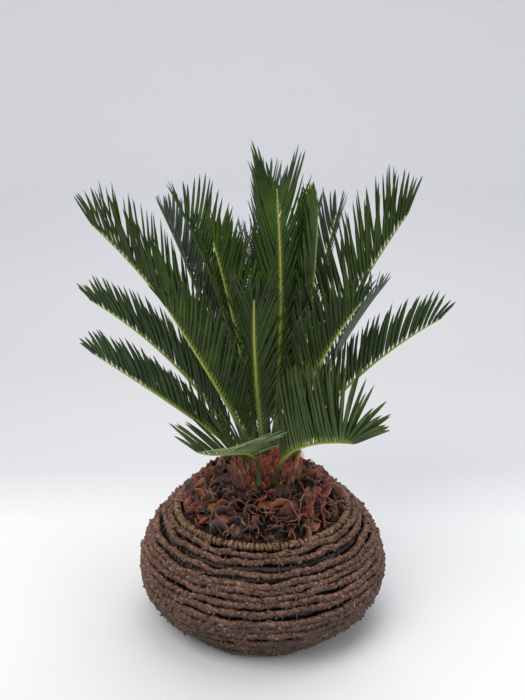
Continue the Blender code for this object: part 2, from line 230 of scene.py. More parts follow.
@dataclass(frozen=True)
class LeafFinish:
    """Satin leaflets: a deep green blade with a paler midrib, a yellow-green foot and a dry tip."""

    name: str
    deep: Colour
    bright: Colour
    foot: Colour = (0.26, 0.32, 0.05)
    tip: Colour = (0.12, 0.11, 0.03)
    roughness: float = 0.48
    midrib: float = 0.30
    foot_reach: float = 0.10
    tip_from: float = 0.93

    def make(self) -> Material:
        """The material, which reads each leaflet's UV map."""
        paint = Paint(self.name, self.roughness)
        along = paint.axis(0)
        blade = paint.mix(paint.level(paint.noise(26.0, 3.0), 0.35, 0.68), self.deep, self.bright)
        ridge = paint.maths("ABSOLUTE", paint.maths("SUBTRACT", paint.axis(1), 0.5))
        midrib = paint.maths("SUBTRACT", 1.0, paint.level(ridge, 0.0, 0.09))
        blade = paint.mix(paint.maths("MULTIPLY", midrib, self.midrib), blade, self.foot)
        foot = paint.maths("SUBTRACT", 1.0, paint.level(along, 0.0, self.foot_reach))
        blade = paint.mix(foot, blade, self.foot)
        paint.set("Base Color", paint.mix(paint.level(along, self.tip_from, 1.0), blade, self.tip))
        paint.set("Specular IOR Level", 0.25)
        paint.set("Sheen Weight", 0.03)
        paint.bump(paint.noise(9.0, 3.0, 0.6, (0.6, 9.0, 1.0), "UV"), 0.25, 0.0004)
        return paint.material


@dataclass(frozen=True)
class RibFinish:
    """Leaf stalks and ribs: yellow-green, darker at the foot, with fine lengthwise streaks."""

    name: str = "rib_yellow_green"
    foot: Colour = (0.022, 0.034, 0.010)
    middle: Colour = (0.200, 0.260, 0.030)
    tip: Colour = (0.420, 0.460, 0.070)
    streaks: float = 0.25

    def make(self) -> Material:
        """The material, which reads each rib's UV map."""
        paint = Paint(self.name, 0.42)
        stops = ((0.0, self.foot), (0.14, self.foot), (0.30, self.middle), (1.0, self.tip))
        streak = paint.noise(14.0, 3.0, 0.6, (1.0, 6.0, 1.0), "UV")
        share = paint.maths("MULTIPLY", paint.level(streak, 0.35, 0.8), self.streaks)
        paint.set("Base Color", paint.mix(share, paint.ramp(paint.axis(0), stops), self.middle))
        paint.bump(streak, 0.3, 0.0006)
        return paint.material


@dataclass(frozen=True)
class VineFinish:
    """Dry vine stems: flaky bark in browns, pale on its ridges, dark in its hollows, with painted light on top and
    painted shade below.
    """

    name: str
    dark: Colour
    mid: Colour
    pale: Colour
    worn: Stops = ((0.32, (0.32, 0.28, 0.26)), (0.52, (0.9, 0.9, 0.9)), (0.72, (1.75, 1.6, 1.45)))
    # Painted light and shade: a multiplier by how far a place faces upward, lighter on top and darker below.
    painted_toplight: Stops = (
        (0.12, (0.20, 0.18, 0.18)),
        (0.50, (0.52, 0.50, 0.49)),
        (0.72, (1.05, 0.98, 0.94)),
        (0.92, (1.75, 1.56, 1.46)),
    )

    def make(self) -> Material:
        """The material, which reads how far each place faces upward to paint light on top and shade below."""
        paint = Paint(self.name, 0.78)
        broad = paint.noise(34.0, 4.0, 0.6)
        ridge = paint.noise(260.0, 3.0, 0.5)
        flake = paint.noise(520.0, 5.0, 0.7)
        share = paint.maths("ADD", paint.level(ridge, 0.16, 0.84), paint.maths("MULTIPLY", broad, 0.5))
        stops = ((0.12, self.dark), (0.48, self.mid), (0.92, self.pale))
        bark = paint.shade(0.9, paint.ramp(paint.maths("SUBTRACT", share, 0.25), stops), flake, self.worn)
        # Painted top light and painted shade, from the stored facing value.
        paint.set("Base Color", paint.shade(1.0, bark, paint.stored(UPWARD), self.painted_toplight))
        paint.set("Roughness", paint.level(flake, -0.4, 1.2))
        paint.bump(flake, 0.7, 0.0016)
        return paint.material


@dataclass(frozen=True)
class CurlFinish:
    """Curled dry bark: an inner face, a duller outer face and a paler broken edge."""

    name: str
    inner: Colour
    outer: Colour
    edge: Colour
    tone: Stops = ((0.36, (0.34, 0.30, 0.30)), (0.64, (1.35, 1.3, 1.2)))
    mottle: Stops = ((0.3, (0.42, 0.40, 0.42)), (0.7, (1.35, 1.3, 1.25)))

    def make(self) -> Material:
        """The material, whose UV map runs from middle to edge and from the inner to the outer face."""
        paint = Paint(self.name, 0.62)
        mottle = paint.noise(150.0, 5.0, 0.62)
        face = paint.mix(paint.axis(1), self.inner, self.outer)
        face = paint.shade(1.0, face, paint.noise(52.0, 2.0, 0.5), self.tone)
        face = paint.shade(0.85, face, mottle, self.mottle)
        paint.set("Base Color", paint.mix(paint.level(paint.axis(0), 0.86, 1.0), face, self.edge))
        paint.set("Roughness", paint.level(mottle, -0.6, 1.4))
        paint.bump(mottle, 0.5, 0.0012)
        return paint.material


@dataclass(frozen=True)
class ScaleFinish:
    """Woolly trunk scales: rusty red-brown with orange edges and tips, partly their own colour and partly painted
    highlight, and dark between them.
    """

    name: str
    dark: Colour
    rust: Colour
    glow: Colour
    wool: Stops = ((0.3, (0.4, 0.36, 0.36)), (0.7, (1.4, 1.35, 1.3)))

    def make(self) -> Material:
        """The material, whose UV map runs from foot to tip along each scale."""
        paint = Paint(self.name, 0.85)
        patch = paint.level(paint.noise(130.0, 4.0, 0.65), 0.3, 0.75)
        wool = paint.noise(620.0, 4.0, 0.7, (1.0, 1.0, 0.35))
        edge = paint.maths("ABSOLUTE", paint.maths("SUBTRACT", paint.axis(1), 0.5))
        base = paint.ramp(patch, ((0.0, self.dark), (0.45, self.rust), (1.0, self.glow)))
        # Edges and tips turn orange: partly the scales' own rims, partly painted highlight.
        base = paint.mix(paint.level(edge, 0.30, 0.62), base, self.glow)
        base = paint.mix(paint.level(paint.axis(0), 0.70, 1.3), base, self.glow)
        paint.set("Base Color", paint.shade(0.8, base, wool, self.wool))
        paint.set("Sheen Weight", 0.25)
        paint.bump(wool, 0.8, 0.0016)
        return paint.material


@dataclass(frozen=True)
class EarthFinish:
    """Dark crumbly earth, and the deep shade under loose bark."""

    name: str = "dark_earth"
    dark: Colour = (0.012, 0.009, 0.008)
    pale: Colour = (0.060, 0.036, 0.026)

    def make(self) -> Material:
        """The material."""
        paint = Paint(self.name, 0.95)
        crumb = paint.noise(230.0, 6.0, 0.7)
        paint.set("Base Color", paint.ramp(crumb, ((0.35, self.dark), (0.7, self.pale))))
        paint.bump(crumb, 0.9, 0.004)
        return paint.material


@dataclass(frozen=True)
class WireFinish:
    """Black-coated wire, a little dusty."""

    name: str = "black_wire"
    coat: Colour = (0.012, 0.012, 0.013)
    dust: Colour = (0.06, 0.055, 0.05)

    def make(self) -> Material:
        """The material."""
        paint = Paint(self.name, 0.45)
        dust = paint.noise(240.0, 4.0)
        paint.set("Base Color", paint.ramp(dust, ((0.4, self.coat), (0.8, self.dust))))
        paint.set("Roughness", paint.level(dust, -0.3, 1.5))
        return paint.material


@dataclass(frozen=True)
class StudioFinish:
    """Matte white paper with painted shade: greyer in a band behind the plant, lighter again further back."""

    name: str = "studio_paper"
    depth: float = 4.0
    # Painted shade by distance back: bright near the plant, greyer in a band behind it, lighter far back.
    tones: Stops = (
        (0.05, (0.905, 0.900, 0.885)),
        (0.09, (0.735, 0.730, 0.735)),
        (0.20, (0.695, 0.690, 0.693)),
        (0.35, (0.755, 0.750, 0.757)),
        (0.62, (0.845, 0.852, 0.868)),
    )

    def make(self) -> Material:
        """The material."""
        paint = Paint(self.name, 0.9)
        paint.set("Base Color", paint.ramp(paint.level(paint.axis(1, "Object"), 0.0, self.depth), self.tones))
        paint.set("Specular IOR Level", 0.1)
        return paint.material


# ---------------------------------------------------------------------------------------------- meshes


def lathe(outline: Iterable[Pair], segments: int) -> list[tuple[float, float, float]]:
    """Corners of an outline of radii and heights, turned about the upright axis, one ring after another."""
    angles = [math.tau * k / segments for k in range(segments)]
    return [(math.cos(a) * radius, math.sin(a) * radius, height) for radius, height in outline for a in angles]


def tube_faces(rings: int, sides: int, loop: bool = False) -> list[tuple[int, ...]]:
    """Faces between rings of corners.

    Args:
        rings: number of rings.
        sides: corners in each ring.
        loop: whether the last ring joins the first, where else both get a cap.

    Returns:
        The wall's faces, then the caps.
    """
    faces: list[tuple[int, ...]] = []
    for ring in range(rings if loop else rings - 1):
        low = ring * sides
        high = (ring + 1) % rings * sides
        for side in range(sides):
            after = (side + 1) % sides
            faces.append((low + side, low + after, high + after, high + side))
    if not loop:
        faces.append(tuple(reversed(range(sides))))
        faces.append(tuple(range((rings - 1) * sides, rings * sides)))
    return faces


def face_outwards(obj: Object) -> None:
    """Turns every face of a closed mesh to point out."""
    bm = bmesh.new()
    bm.from_mesh(obj.data)
    bmesh.ops.recalc_face_normals(bm, faces=bm.faces[:])
    bm.to_mesh(obj.data)
    bm.free()


def make_mesh(
    name: str,
    points: Sequence[Sequence[float]],
    faces: list[tuple[int, ...]],
    uvs: Sequence[Pair] | None = None,
    material: Material | None = None,
) -> Object:
    """A smooth-shaded object with its faces turned outwards, linked to no collection.

    Args:
        name: its name.
        points: its corners.
        faces: its faces.
        uvs: a UV pair for each corner, where its finish reads one.
        material: its finish, where it has one yet.

    Returns:
        The object.
    """
    mesh = bpy.data.meshes.new(name)
    mesh.from_pydata([tuple(point) for point in points], [], faces)
    if uvs:
        corners = np.empty(len(mesh.loops), dtype=np.int32)
        mesh.loops.foreach_get("vertex_index", corners)
        pairs = np.asarray(uvs, dtype=np.float32)[corners]
        mesh.uv_layers.new(name="UVMap").data.foreach_set("uv", pairs.ravel())
    mesh.polygons.foreach_set("use_smooth", [True] * len(mesh.polygons))
    if material:
        mesh.materials.append(material)
    obj = bpy.data.objects.new(name, mesh)
    face_outwards(obj)
    return obj


def publish(obj: Object, slot: str, *nodes: str) -> None:
    """Links a finished piece, rides it on the plant's body and hides the solids that it stands for.

    Args:
        obj: the piece.
        slot: not used.
        *nodes: the solids that it replaces.
    """
    bpy.context.scene.collection.objects.link(obj)
    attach(obj, BODY)
    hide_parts(*nodes)
    LOG.info("%s: %d faces", obj.name, len(obj.data.polygons))


def ground_and_mark_toplight(obj: Object) -> Object:
    """Lifts a piece's lowest corners to the ground, and stores how far each corner faces upward, from 0 to 1, for
    painted top light and shade.
    """
    vectors = np.empty(len(obj.data.vertices) * 3, dtype=np.float32)
    obj.data.vertices.foreach_get("co", vectors)
    vectors[2::3] = np.maximum(vectors[2::3], 0.0)
    obj.data.vertices.foreach_set("co", vectors)
    obj.data.update()
    obj.data.vertex_normals.foreach_get("vector", vectors)
    layer = obj.data.attributes.new(UPWARD, "FLOAT", "POINT")
    layer.data.foreach_set("value", vectors[2::3] * 0.5 + 0.5)
    return obj


class NodeTree:
    """A Geometry Nodes tree with named inputs, run on one object and baked into a plain mesh."""

    def __init__(self, name: str, **inputs: str) -> None:
        """Starts a tree.

        Args:
            name: the tree's name.
            **inputs: each input after the geometry, with its kind of socket.
        """
        self.tree = bpy.data.node_groups.new(name, "GeometryNodeTree")
        face = self.tree.interface
        face.new_socket("Geometry", in_out="INPUT", socket_type="NodeSocketGeometry")
        self.keys = {
            label: face.new_socket(label, in_out="INPUT", socket_type=f"NodeSocket{kind}").identifier
            for label, kind in inputs.items()
        }
        face.new_socket("Geometry", in_out="OUTPUT", socket_type="NodeSocketGeometry")
        self.inputs = self.tree.nodes.new("NodeGroupInput").outputs

    def add(self, kind: str, links: dict[object, object], **settings: object) -> Sequence[Socket]:
        """Adds a node and gives its outputs."""
        return add_node(self.tree, kind, links, **settings).outputs

    def attribute(self, name: str, kind: str) -> Socket:
        """A named attribute of the geometry."""
        outputs = self.add("GeometryNodeInputNamedAttribute", {"Name": name}, data_type=kind)
        return next(socket for socket in outputs if socket.enabled and socket.name == "Attribute")

    def finish(self, geometry: Socket) -> None:
        """Realizes the instances, sets the material and closes the tree."""
        real = self.add("GeometryNodeRealizeInstances", {"Geometry": geometry})[0]
        dressed = self.add("GeometryNodeSetMaterial", {"Geometry": real, "Material": self.inputs["Finish"]})
        add_node(self.tree, "NodeGroupOutput", {0: dressed[0]})

    def bake(self, name: str, carrier: Object, values: dict[str, object]) -> Object:
        """Runs the tree on an object and returns the result as a new one.

        Args:
            name: the new object's name.
            carrier: the object that the tree reads, removed afterwards.
            values: the tree's inputs by name.

        Returns:
            A plain mesh object with no modifier.
        """
        bpy.context.scene.collection.objects.link(carrier)
        modifier = carrier.modifiers.new("tree", "NODES")
        modifier.node_group = self.tree
        for label, value in values.items():
            modifier[self.keys[label]] = value
        carrier.update_tag()
        bpy.context.view_layer.update()
        graph = bpy.context.evaluated_depsgraph_get()
        mesh = bpy.data.meshes.new_from_object(carrier.evaluated_get(graph), depsgraph=graph)
        mesh.name = name
        bpy.data.objects.remove(carrier, do_unlink=True)
        return bpy.data.objects.new(name, mesh)


@dataclass
class Placement:
    """Where one copy of a variant goes: its place, turn, size along each axis and which variant it is."""

    place: Vector
    turn: Matrix
    size: tuple[float, float, float]
    kind: int


class Scatter(NodeTree):
    """Copies a few variants onto many placements."""

    def __init__(self) -> None:
        """Builds the tree."""
        super().__init__("scatter", Variants="Collection", Finish="Material", Jitter="Float", Seed="Int")
        group = self.inputs
        links = {"Collection": group["Variants"], "Separate Children": True, "Reset Children": True}
        pool = self.add("GeometryNodeCollectionInfo", links)["Instances"]
        away = self.add("ShaderNodeMath", {0: group["Jitter"], 1: -1.0}, operation="MULTIPLY")[0]
        links = {"Min": away, "Max": group["Jitter"], "Seed": group["Seed"]}
        shake = self.add("FunctionNodeRandomValue", links, data_type="FLOAT_VECTOR")["Value"]
        links = {0: self.attribute("turn", "FLOAT_VECTOR"), 1: shake}
        turn = self.add("ShaderNodeVectorMath", links, operation="ADD")["Vector"]
        links = {
            "Points": group["Geometry"],
            "Instance": pool,
            "Pick Instance": True,
            "Instance Index": self.attribute("kind", "INT"),
            "Rotation": self.add("FunctionNodeEulerToRotation", {"Euler": turn})["Rotation"],
            "Scale": self.attribute("size", "FLOAT_VECTOR"),
        }
        self.finish(self.add("GeometryNodeInstanceOnPoints", links)["Instances"])

    def copy(
        self,
        name: str,
        variants: Sequence[Object],
        placements: Sequence[Placement],
        material: Material,
        jitter: float = 0.0,
    ) -> Object:
        """One mesh that holds every copy.

        Args:
            name: the piece's name.
            variants: the shapes to copy, in order of their kind number.
            placements: where the copies go.
            material: the finish of all of them.
            jitter: the most that a copy turns at random about each axis, in radians.

        Returns:
            The joined mesh as an object.
        """
        pool = bpy.data.collections.new(name + "_variants")
        for index, variant in enumerate(variants):
            variant.name = f"{index:02d}_{name}"
            pool.objects.link(variant)
        mesh = bpy.data.meshes.new(name + "_points")
        mesh.from_pydata([tuple(item.place) for item in placements], [], [])
        turns = [value for item in placements for value in item.turn.to_euler("XYZ")]
        sizes = [value for item in placements for value in item.size]
        mesh.attributes.new("turn", "FLOAT_VECTOR", "POINT").data.foreach_set("vector", turns)
        mesh.attributes.new("size", "FLOAT_VECTOR", "POINT").data.foreach_set("vector", sizes)
        mesh.attributes.new("kind", "INT", "POINT").data.foreach_set("value", [item.kind for item in placements])
        carrier = bpy.data.objects.new(name + "_points", mesh)
        obj = self.bake(name, carrier, {"Variants": pool, "Finish": material, "Jitter": jitter, "Seed": SEED})
        for variant in variants:
            bpy.data.objects.remove(variant, do_unlink=True)
        bpy.data.collections.remove(pool)
        return obj


class Stems(NodeTree):
    """Turns closed or open paths into knobbly stems."""

    def __init__(self) -> None:
        """Builds the tree."""
        super().__init__("stems", Radius="Float", Sides="Int", Relief="Float", Scale="Float", Finish="Material")
        group = self.inputs
        links = {"Resolution": group["Sides"], "Radius": group["Radius"]}
        ring = self.add("GeometryNodeCurvePrimitiveCircle", links)["Curve"]
        share = self.add("GeometryNodeInputRadius", {})[0]
        links = {"Curve": group["Geometry"], "Profile Curve": ring, "Fill Caps": True, "Scale": share}
        swept = self.add("GeometryNodeCurveToMesh", links)[0]
        rough = self.add("ShaderNodeTexNoise", {"Scale": group["Scale"], "Detail": 3.0})[0]
        centred = self.add("ShaderNodeMath", {0: rough, 1: 0.5}, operation="SUBTRACT")[0]
        amount = self.add("ShaderNodeMath", {0: centred, 1: group["Relief"]}, operation="MULTIPLY")[0]
        links = {0: self.add("GeometryNodeInputNormal", {})[0], "Scale": amount}
        push = self.add("ShaderNodeVectorMath", links, operation="SCALE")["Vector"]
        self.finish(self.add("GeometryNodeSetPosition", {"Geometry": swept, "Offset": push})[0])

    def sweep(
        self,
        name: str,
        paths: Sequence[Path],
        material: Material,
        radius: float,
        sides: int,
        relief: float = 0.0,
        scale: float = 1.0,
    ) -> Object:
        """One mesh of all the stems.

        Args:
            name: the piece's name.
            paths: each stem's points, its radius at each point as a share, and whether it closes on itself.
            material: the finish.
            radius: the stem's radius where the share is 1.
            sides: number of sides.
            relief: depth of the bark's relief, in metres.
            scale: features of the relief per metre.

        Returns:
            The joined mesh as an object.
        """
        curve = bpy.data.curves.new(name + "_paths", "CURVE")
        curve.dimensions = "3D"
        for points, shares, closed in paths:
            spline = curve.splines.new("POLY")
            spline.points.add(len(points) - 1)
            spline.points.foreach_set("co", np.column_stack([points, np.ones(len(points))]).ravel())
            spline.points.foreach_set("radius", shares)
            spline.use_cyclic_u = closed
        carrier = bpy.data.objects.new(name + "_paths", curve)
        values = {"Radius": radius, "Sides": sides, "Relief": relief, "Scale": scale, "Finish": material}
        obj = self.bake(name, carrier, values)
        face_outwards(obj)
        obj.data.polygons.foreach_set("use_smooth", [True] * len(obj.data.polygons))
        return obj


# ---------------------------------------------------------------------------------------------- crown


class Tier(Enum):
    """Which ring or side of the crown a leaflet belongs to, or that it carries the painted highlight of a row lit on
    top.
    """

    LOW = "low"
    PALE = "pale"
    BACK = "back"
    OUTER = "outer"
    MIDDLE = "middle"
    INNER = "inner"


@dataclass(frozen=True)
class Frond:
    """One frond, by the same rule as its solid.

    azimuth, rise_base, rise_tip and drift are degrees: the compass direction of the rib, its slope above
    level at either end, and how far the direction swings on the way. height and radius place the stalk's
    foot. leaf_angle is from the rib at mid frond, leaf_tip is the same at its tip, and leaf_lift is above the
    frond's own plane. leaf_end is the share of the full leaflet length left at the frond's tip. left_angle
    and left_lift are set on a frond whose left row is swept back towards its foot. stalk is the share of the
    length that is bare, sag is how many degrees the slope drops by half-way, fan is how far the last
    leaflets close towards the tip and notch how much shorter they are.
    """

    tier: Tier
    azimuth: float
    rise_base: float
    rise_tip: float
    length: float
    drift: float
    height: float
    radius: float
    leaf_length: float
    leaf_angle: float
    leaf_lift: float
    leaf_end: float
    leaf_tip: float
    left_angle: float = 0.0
    left_lift: float = 0.0
    stalk: float = 0.1
    sag: float = 0.0
    fan: float = 0.4
    notch: float = 0.4


FRONDS = (
    Frond(Tier.OUTER, 229, 44, 39, 0.234, -30, 0.1985, 0.0330, 0.058, 31, 70, 0.62, 34),
    Frond(Tier.OUTER, 196, 67, 33, 0.240, -14, 0.1985, 0.0330, 0.060, 31, 70, 0.62, 36),
    Frond(Tier.OUTER, 334, 63, 34, 0.231, 13, 0.1985, 0.0330, 0.056, 42, 72, 0.72, 36),
    Frond(Tier.LOW, 258, 100, 31, 0.139, -42, 0.1760, 0.0415, 0.062, 38, 76, 0.8, 24, 112, 40, 0.34, 43),
    Frond(Tier.LOW, 280, 59, 11, 0.175, 41, 0.1780, 0.0415, 0.080, 70, 86, 0.95, 88, 0, 0, 0.27, 0, 0.7),
    Frond(Tier.BACK, 42, 62, 31, 0.222, 5, 0.1865, 0.0392, 0.058, 34, 66, 0.62, 36),
    Frond(Tier.BACK, 76, 64, 27, 0.235, 4, 0.1865, 0.0392, 0.058, 34, 66, 0.62, 36),
    Frond(Tier.BACK, 112, 63, 25, 0.240, -5, 0.1860, 0.0392, 0.058, 34, 66, 0.62, 36),
    Frond(Tier.BACK, 130, 64, 26, 0.200, 5, 0.1870, 0.0392, 0.056, 34, 66, 0.62, 36),
    Frond(Tier.MIDDLE, 170, 70, 38, 0.294, -10, 0.2050, 0.0255, 0.088, 31, 73, 0.72, 40),
    Frond(Tier.MIDDLE, 241, 54, 53, 0.254, -5, 0.2040, 0.0265, 0.078, 29, 50, 0.66, 26),
    Frond(Tier.MIDDLE, 259, 67, 55, 0.234, 13, 0.2055, 0.0245, 0.074, 32, 46, 0.70, 22),
    Frond(Tier.MIDDLE, 8, 73, 55, 0.282, 1, 0.2050, 0.0255, 0.088, 44, 74, 0.82, 34),
    Frond(Tier.BACK, 136, 65, 52, 0.270, -3, 0.2050, 0.0255, 0.076, 32, 58, 0.62, 32),
    Frond(Tier.BACK, 102, 61, 40, 0.248, -11, 0.2050, 0.0255, 0.070, 34, 60, 0.62, 34),
    Frond(Tier.BACK, 55, 66, 58, 0.263, 5, 0.2050, 0.0255, 0.074, 32, 58, 0.66, 32),
    Frond(Tier.MIDDLE, 308, 69, 52, 0.222, 8, 0.2050, 0.0255, 0.072, 31, 56, 0.66, 30),
    Frond(Tier.INNER, 295, 77, 100, 0.284, 1, 0.2105, 0.0140, 0.082, 18, 34, 0.95, 15, 30, 12, 0.1, 0, 0.05, 0.9),
    Frond(Tier.INNER, 143, 78, 53, 0.258, -8, 0.2100, 0.0150, 0.088, 37, 52, 0.76, 34, 13, 52),
    Frond(Tier.BACK, 35, 86, 70, 0.242, 0, 0.2105, 0.0140, 0.076, 28, 50, 0.74, 24),
    Frond(Tier.INNER, 351, 74, 90, 0.262, 20, 0.2100, 0.0150, 0.068, 26, 50, 0.74, 22),
    Frond(Tier.INNER, 215, 82, 72, 0.238, 8, 0.2100, 0.0150, 0.072, 29, 50, 0.74, 24),
    Frond(Tier.BACK, 88, 77, 66, 0.278, 4, 0.2100, 0.0150, 0.074, 29, 52, 0.74, 26),
    Frond(Tier.INNER, 255, 86, 84, 0.203, 0, 0.2125, 0.0060, 0.062, 26, 44, 0.8, 22),
)


@dataclass
class Station:
    """A place on a frond's rib, with the rib's direction, its upper side and its right side."""

    point: Vector
    along: Vector
    upper: Vector
    side: Vector


@dataclass
class Crown:
    """All the fronds: their ribs, and leaflets in one piece for each tier."""

    fronds: tuple[Frond, ...] = FRONDS
    path_steps: int = 120
    pitch: float = 0.0060
    leaf_width: float = 0.0037
    last_leaf: float = 0.998
    first_length: float = 0.52
    grown_at: float = 0.28
    falls_from: float = 0.55
    notch_from: float = 0.88
    leaf_stations: tuple[float, ...] = (0.0, 0.04, 0.12, 0.30, 0.52, 0.74, 0.90, 1.0)
    leaf_widths: tuple[float, ...] = (0.52, 0.62, 0.88, 1.0, 0.97, 0.80, 0.48, 0.06)
    leaf_section: tuple[Pair, ...] = (
        (-0.5, -0.05), (-0.24, 0.10), (0.0, 0.07), (0.24, 0.10), (0.5, -0.05), (0.0, -0.12),
    )
    broad_above: float = 60.0
    flat_below: float = 65.0
    crowd_above: float = 0.5
    swept_above: float = 90.0
    flat_share: float = 1.3
    broad_share: float = 1.5
    crowding: float = 1.5
    louvre: float = 24.0
    flat_louvre: float = 8.0
    leaf_bend: float = 2.4
    widest_angle: float = 88.0
    angle_spread: float = 1.4
    lift_spread: float = 2.0
    root_spread: float = 0.0008
    jitter: float = 1.2
    rib_width: Pair = (0.0052, 0.0011)
    rib_height: Pair = (0.0050, 0.0012)
    rib_rings: int = 48
    rib_sides: int = 8
    rib_sink: float = -0.02
    flat_top: float = 0.72
    foot_swell: float = 0.55
    foot_reach: float = 0.12
    variants: int = 4

    def frame_at(self, frond: Frond, share: float) -> tuple[Vector, Vector, Vector]:
        """Direction, upper side and right side of the rib at a share of its length."""
        sag = frond.sag * 4.0 * share * (1.0 - share)
        rise = math.radians(lerp((frond.rise_base, frond.rise_tip), share) - sag)
        out = level_heading(math.radians(frond.azimuth + frond.drift * share))
        along = out * math.cos(rise) + UP * math.sin(rise)
        upper = UP * math.cos(rise) - out * math.sin(rise)
        return along, upper, along.cross(upper)

    def path(self, frond: Frond, shares: Sequence[float]) -> list[Station]:
        """Stations on the rib at these shares of its length.

        Args:
            frond: the frond.
            shares: where the stations are, from 0 at the foot to 1 at the tip.

        Returns:
            The stations.
        """
        place = Vector((frond.radius, 0.0, frond.height))
        place.rotate(Matrix.Rotation(math.radians(frond.azimuth), 3, "Z"))
        place.x += PLANT_X
        points = [place.copy()]
        for step in range(self.path_steps):
            along = self.frame_at(frond, (step + 0.5) / self.path_steps)[0]
            place = place + along * (frond.length / self.path_steps)
            points.append(place.copy())
        stations = []
        for share in shares:
            at = max(share, 0.0) * self.path_steps
            low = min(int(at), self.path_steps - 1)
            point = points[low].lerp(points[low + 1], at - low)
            along, upper, side = self.frame_at(frond, max(share, 0.0))
            if share < 0.0:
                point = point + along * (share * frond.length)
            stations.append(Station(point, along, upper, side))
        return stations

    def leaf_share(self, outward: float, frond: Frond) -> float:
        """Leaflet length along the frond, as a share of the longest."""
        rising = lerp((self.first_length, 1.0), smooth_step(outward / self.grown_at))
        falling = smooth_step((outward - self.falls_from) / (1.0 - self.falls_from))
        notched = smooth_step((outward - self.notch_from) / (1.0 - self.notch_from))
        return rising * lerp((1.0, frond.leaf_end), falling) * (1.0 - frond.notch * notched)

    def build_leaf(self, hand: int, bow: float, sweep: float, twist: float) -> Object:
        """One leaflet of unit length and unit width, along +X with its upper face to +Z.

        Args:
            hand: 1 for the right row and -1 for the left.
            bow: how far the tip rises or falls, in widths.
            sweep: how far the blade curves towards the frond's tip, in widths.
            twist: how far the tip turns about the blade's length, in radians.

        Returns:
            The leaflet.
        """
        points = []
        uvs = []
        for along, width in zip(self.leaf_stations, self.leaf_widths):
            centre = Vector((along, hand * sweep * along**2, bow * along**2.2))
            turn = Matrix.Rotation(twist * along, 3, "X")
            for across, height in self.leaf_section:
                points.append(centre + turn @ Vector((0.0, across * width, height * (0.35 + 0.65 * width))))
                uvs.append((along, across + 0.5))
        return make_mesh("leaf", points, tube_faces(len(self.leaf_stations), len(self.leaf_section)), uvs)

    def leaf_variants(self, rng: Random) -> list[Object]:
        """Right-hand leaflets, then left-hand ones."""
        shapes = [
            (rng.uniform(-1.0, 0.9), rng.uniform(0.4, 1.5), rng.uniform(-0.35, 0.35)) for _ in range(self.variants)
        ]
        return [self.build_leaf(hand, bow, sweep, hand * twist) for hand in (1, -1) for bow, sweep, twist in shapes]

    def leaf_places(self, frond: Frond, rng: Random) -> list[tuple[Tier, Placement]]:
        """Where one frond's leaflets go.

        Args:
            frond: the frond.
            rng: source of the small differences between leaflets.

        Returns:
            The tier and placement of each leaflet.
        """
        broad = self.broad_share if frond.leaf_angle > self.broad_above else 1.0
        flat = broad > 1.0 or frond.leaf_lift < self.flat_below
        louvre = self.flat_louvre if flat else self.louvre
        crowded = self.crowding if frond.fan > self.crowd_above else 1.0
        pairs = round(frond.length * (1.0 - frond.stalk) / self.pitch * broad**0.6 * crowded**0.6)
        first_angle = 2.0 * frond.leaf_angle - frond.leaf_tip
        found = []
        for index in range(pairs):
            outward = 1.0 - (1.0 - (index + 0.5) / pairs) ** crowded
            share = lerp((frond.stalk, self.last_leaf), outward)
            station = self.path(frond, [share])[0]
            closing = 1.0 - frond.fan * smooth_step(1.0 + (outward - 1.0) / (0.25 * frond.fan))
            for hand in (1, -1):
                angle = min(lerp((first_angle, frond.leaf_tip), outward**0.85), self.widest_angle)
                angle = angle * closing + self.leaf_bend
                lift = lerp((frond.leaf_lift, frond.leaf_lift * 0.94), outward)
                if hand < 0 and frond.left_angle:
                    angle, lift = frond.left_angle, frond.left_lift
                angle = math.radians(angle + rng.normal(0.0, self.angle_spread))
                lift = math.radians(lift + rng.normal(0.0, self.lift_spread))
                lateral = station.side * (hand * math.cos(lift)) + station.upper * math.sin(lift)
                normal = station.upper * math.cos(lift) - station.side * (hand * math.sin(lift))
                direction = station.along * math.cos(angle) + lateral * math.sin(angle)
                root = (
                    station.point
                    + station.side * (hand * lerp(self.rib_width, share) * 0.36)
                    + station.upper * (lerp(self.rib_height, share) * 0.18)
                    + station.along * rng.uniform(-self.root_spread, self.root_spread)
                )
                length = frond.leaf_length * self.leaf_share(outward, frond) * rng.uniform(0.94, 1.05)
                width = self.leaf_width * rng.uniform(0.9, 1.08)
                width *= 0.80 + 0.20 * math.sin(math.pi * outward**0.7)
                swept = hand < 0 and frond.left_angle > self.swept_above
                width *= max(broad, self.flat_share if flat else 1.0, self.broad_share if swept else 1.0)
                turn = Matrix((direction, normal.cross(direction), normal)).transposed()
                turn = turn @ Matrix.Rotation(math.radians(-hand * louvre), 3, "X")
                kind = int(rng.integers(self.variants)) + (0 if hand > 0 else self.variants)
                # Leaflets of a swept-back row take the pale greens: a painted highlight for a row lit on top.
                tier = Tier.PALE if swept else frond.tier
                found.append((tier, Placement(root, turn, (length, width, width), kind)))
        return found

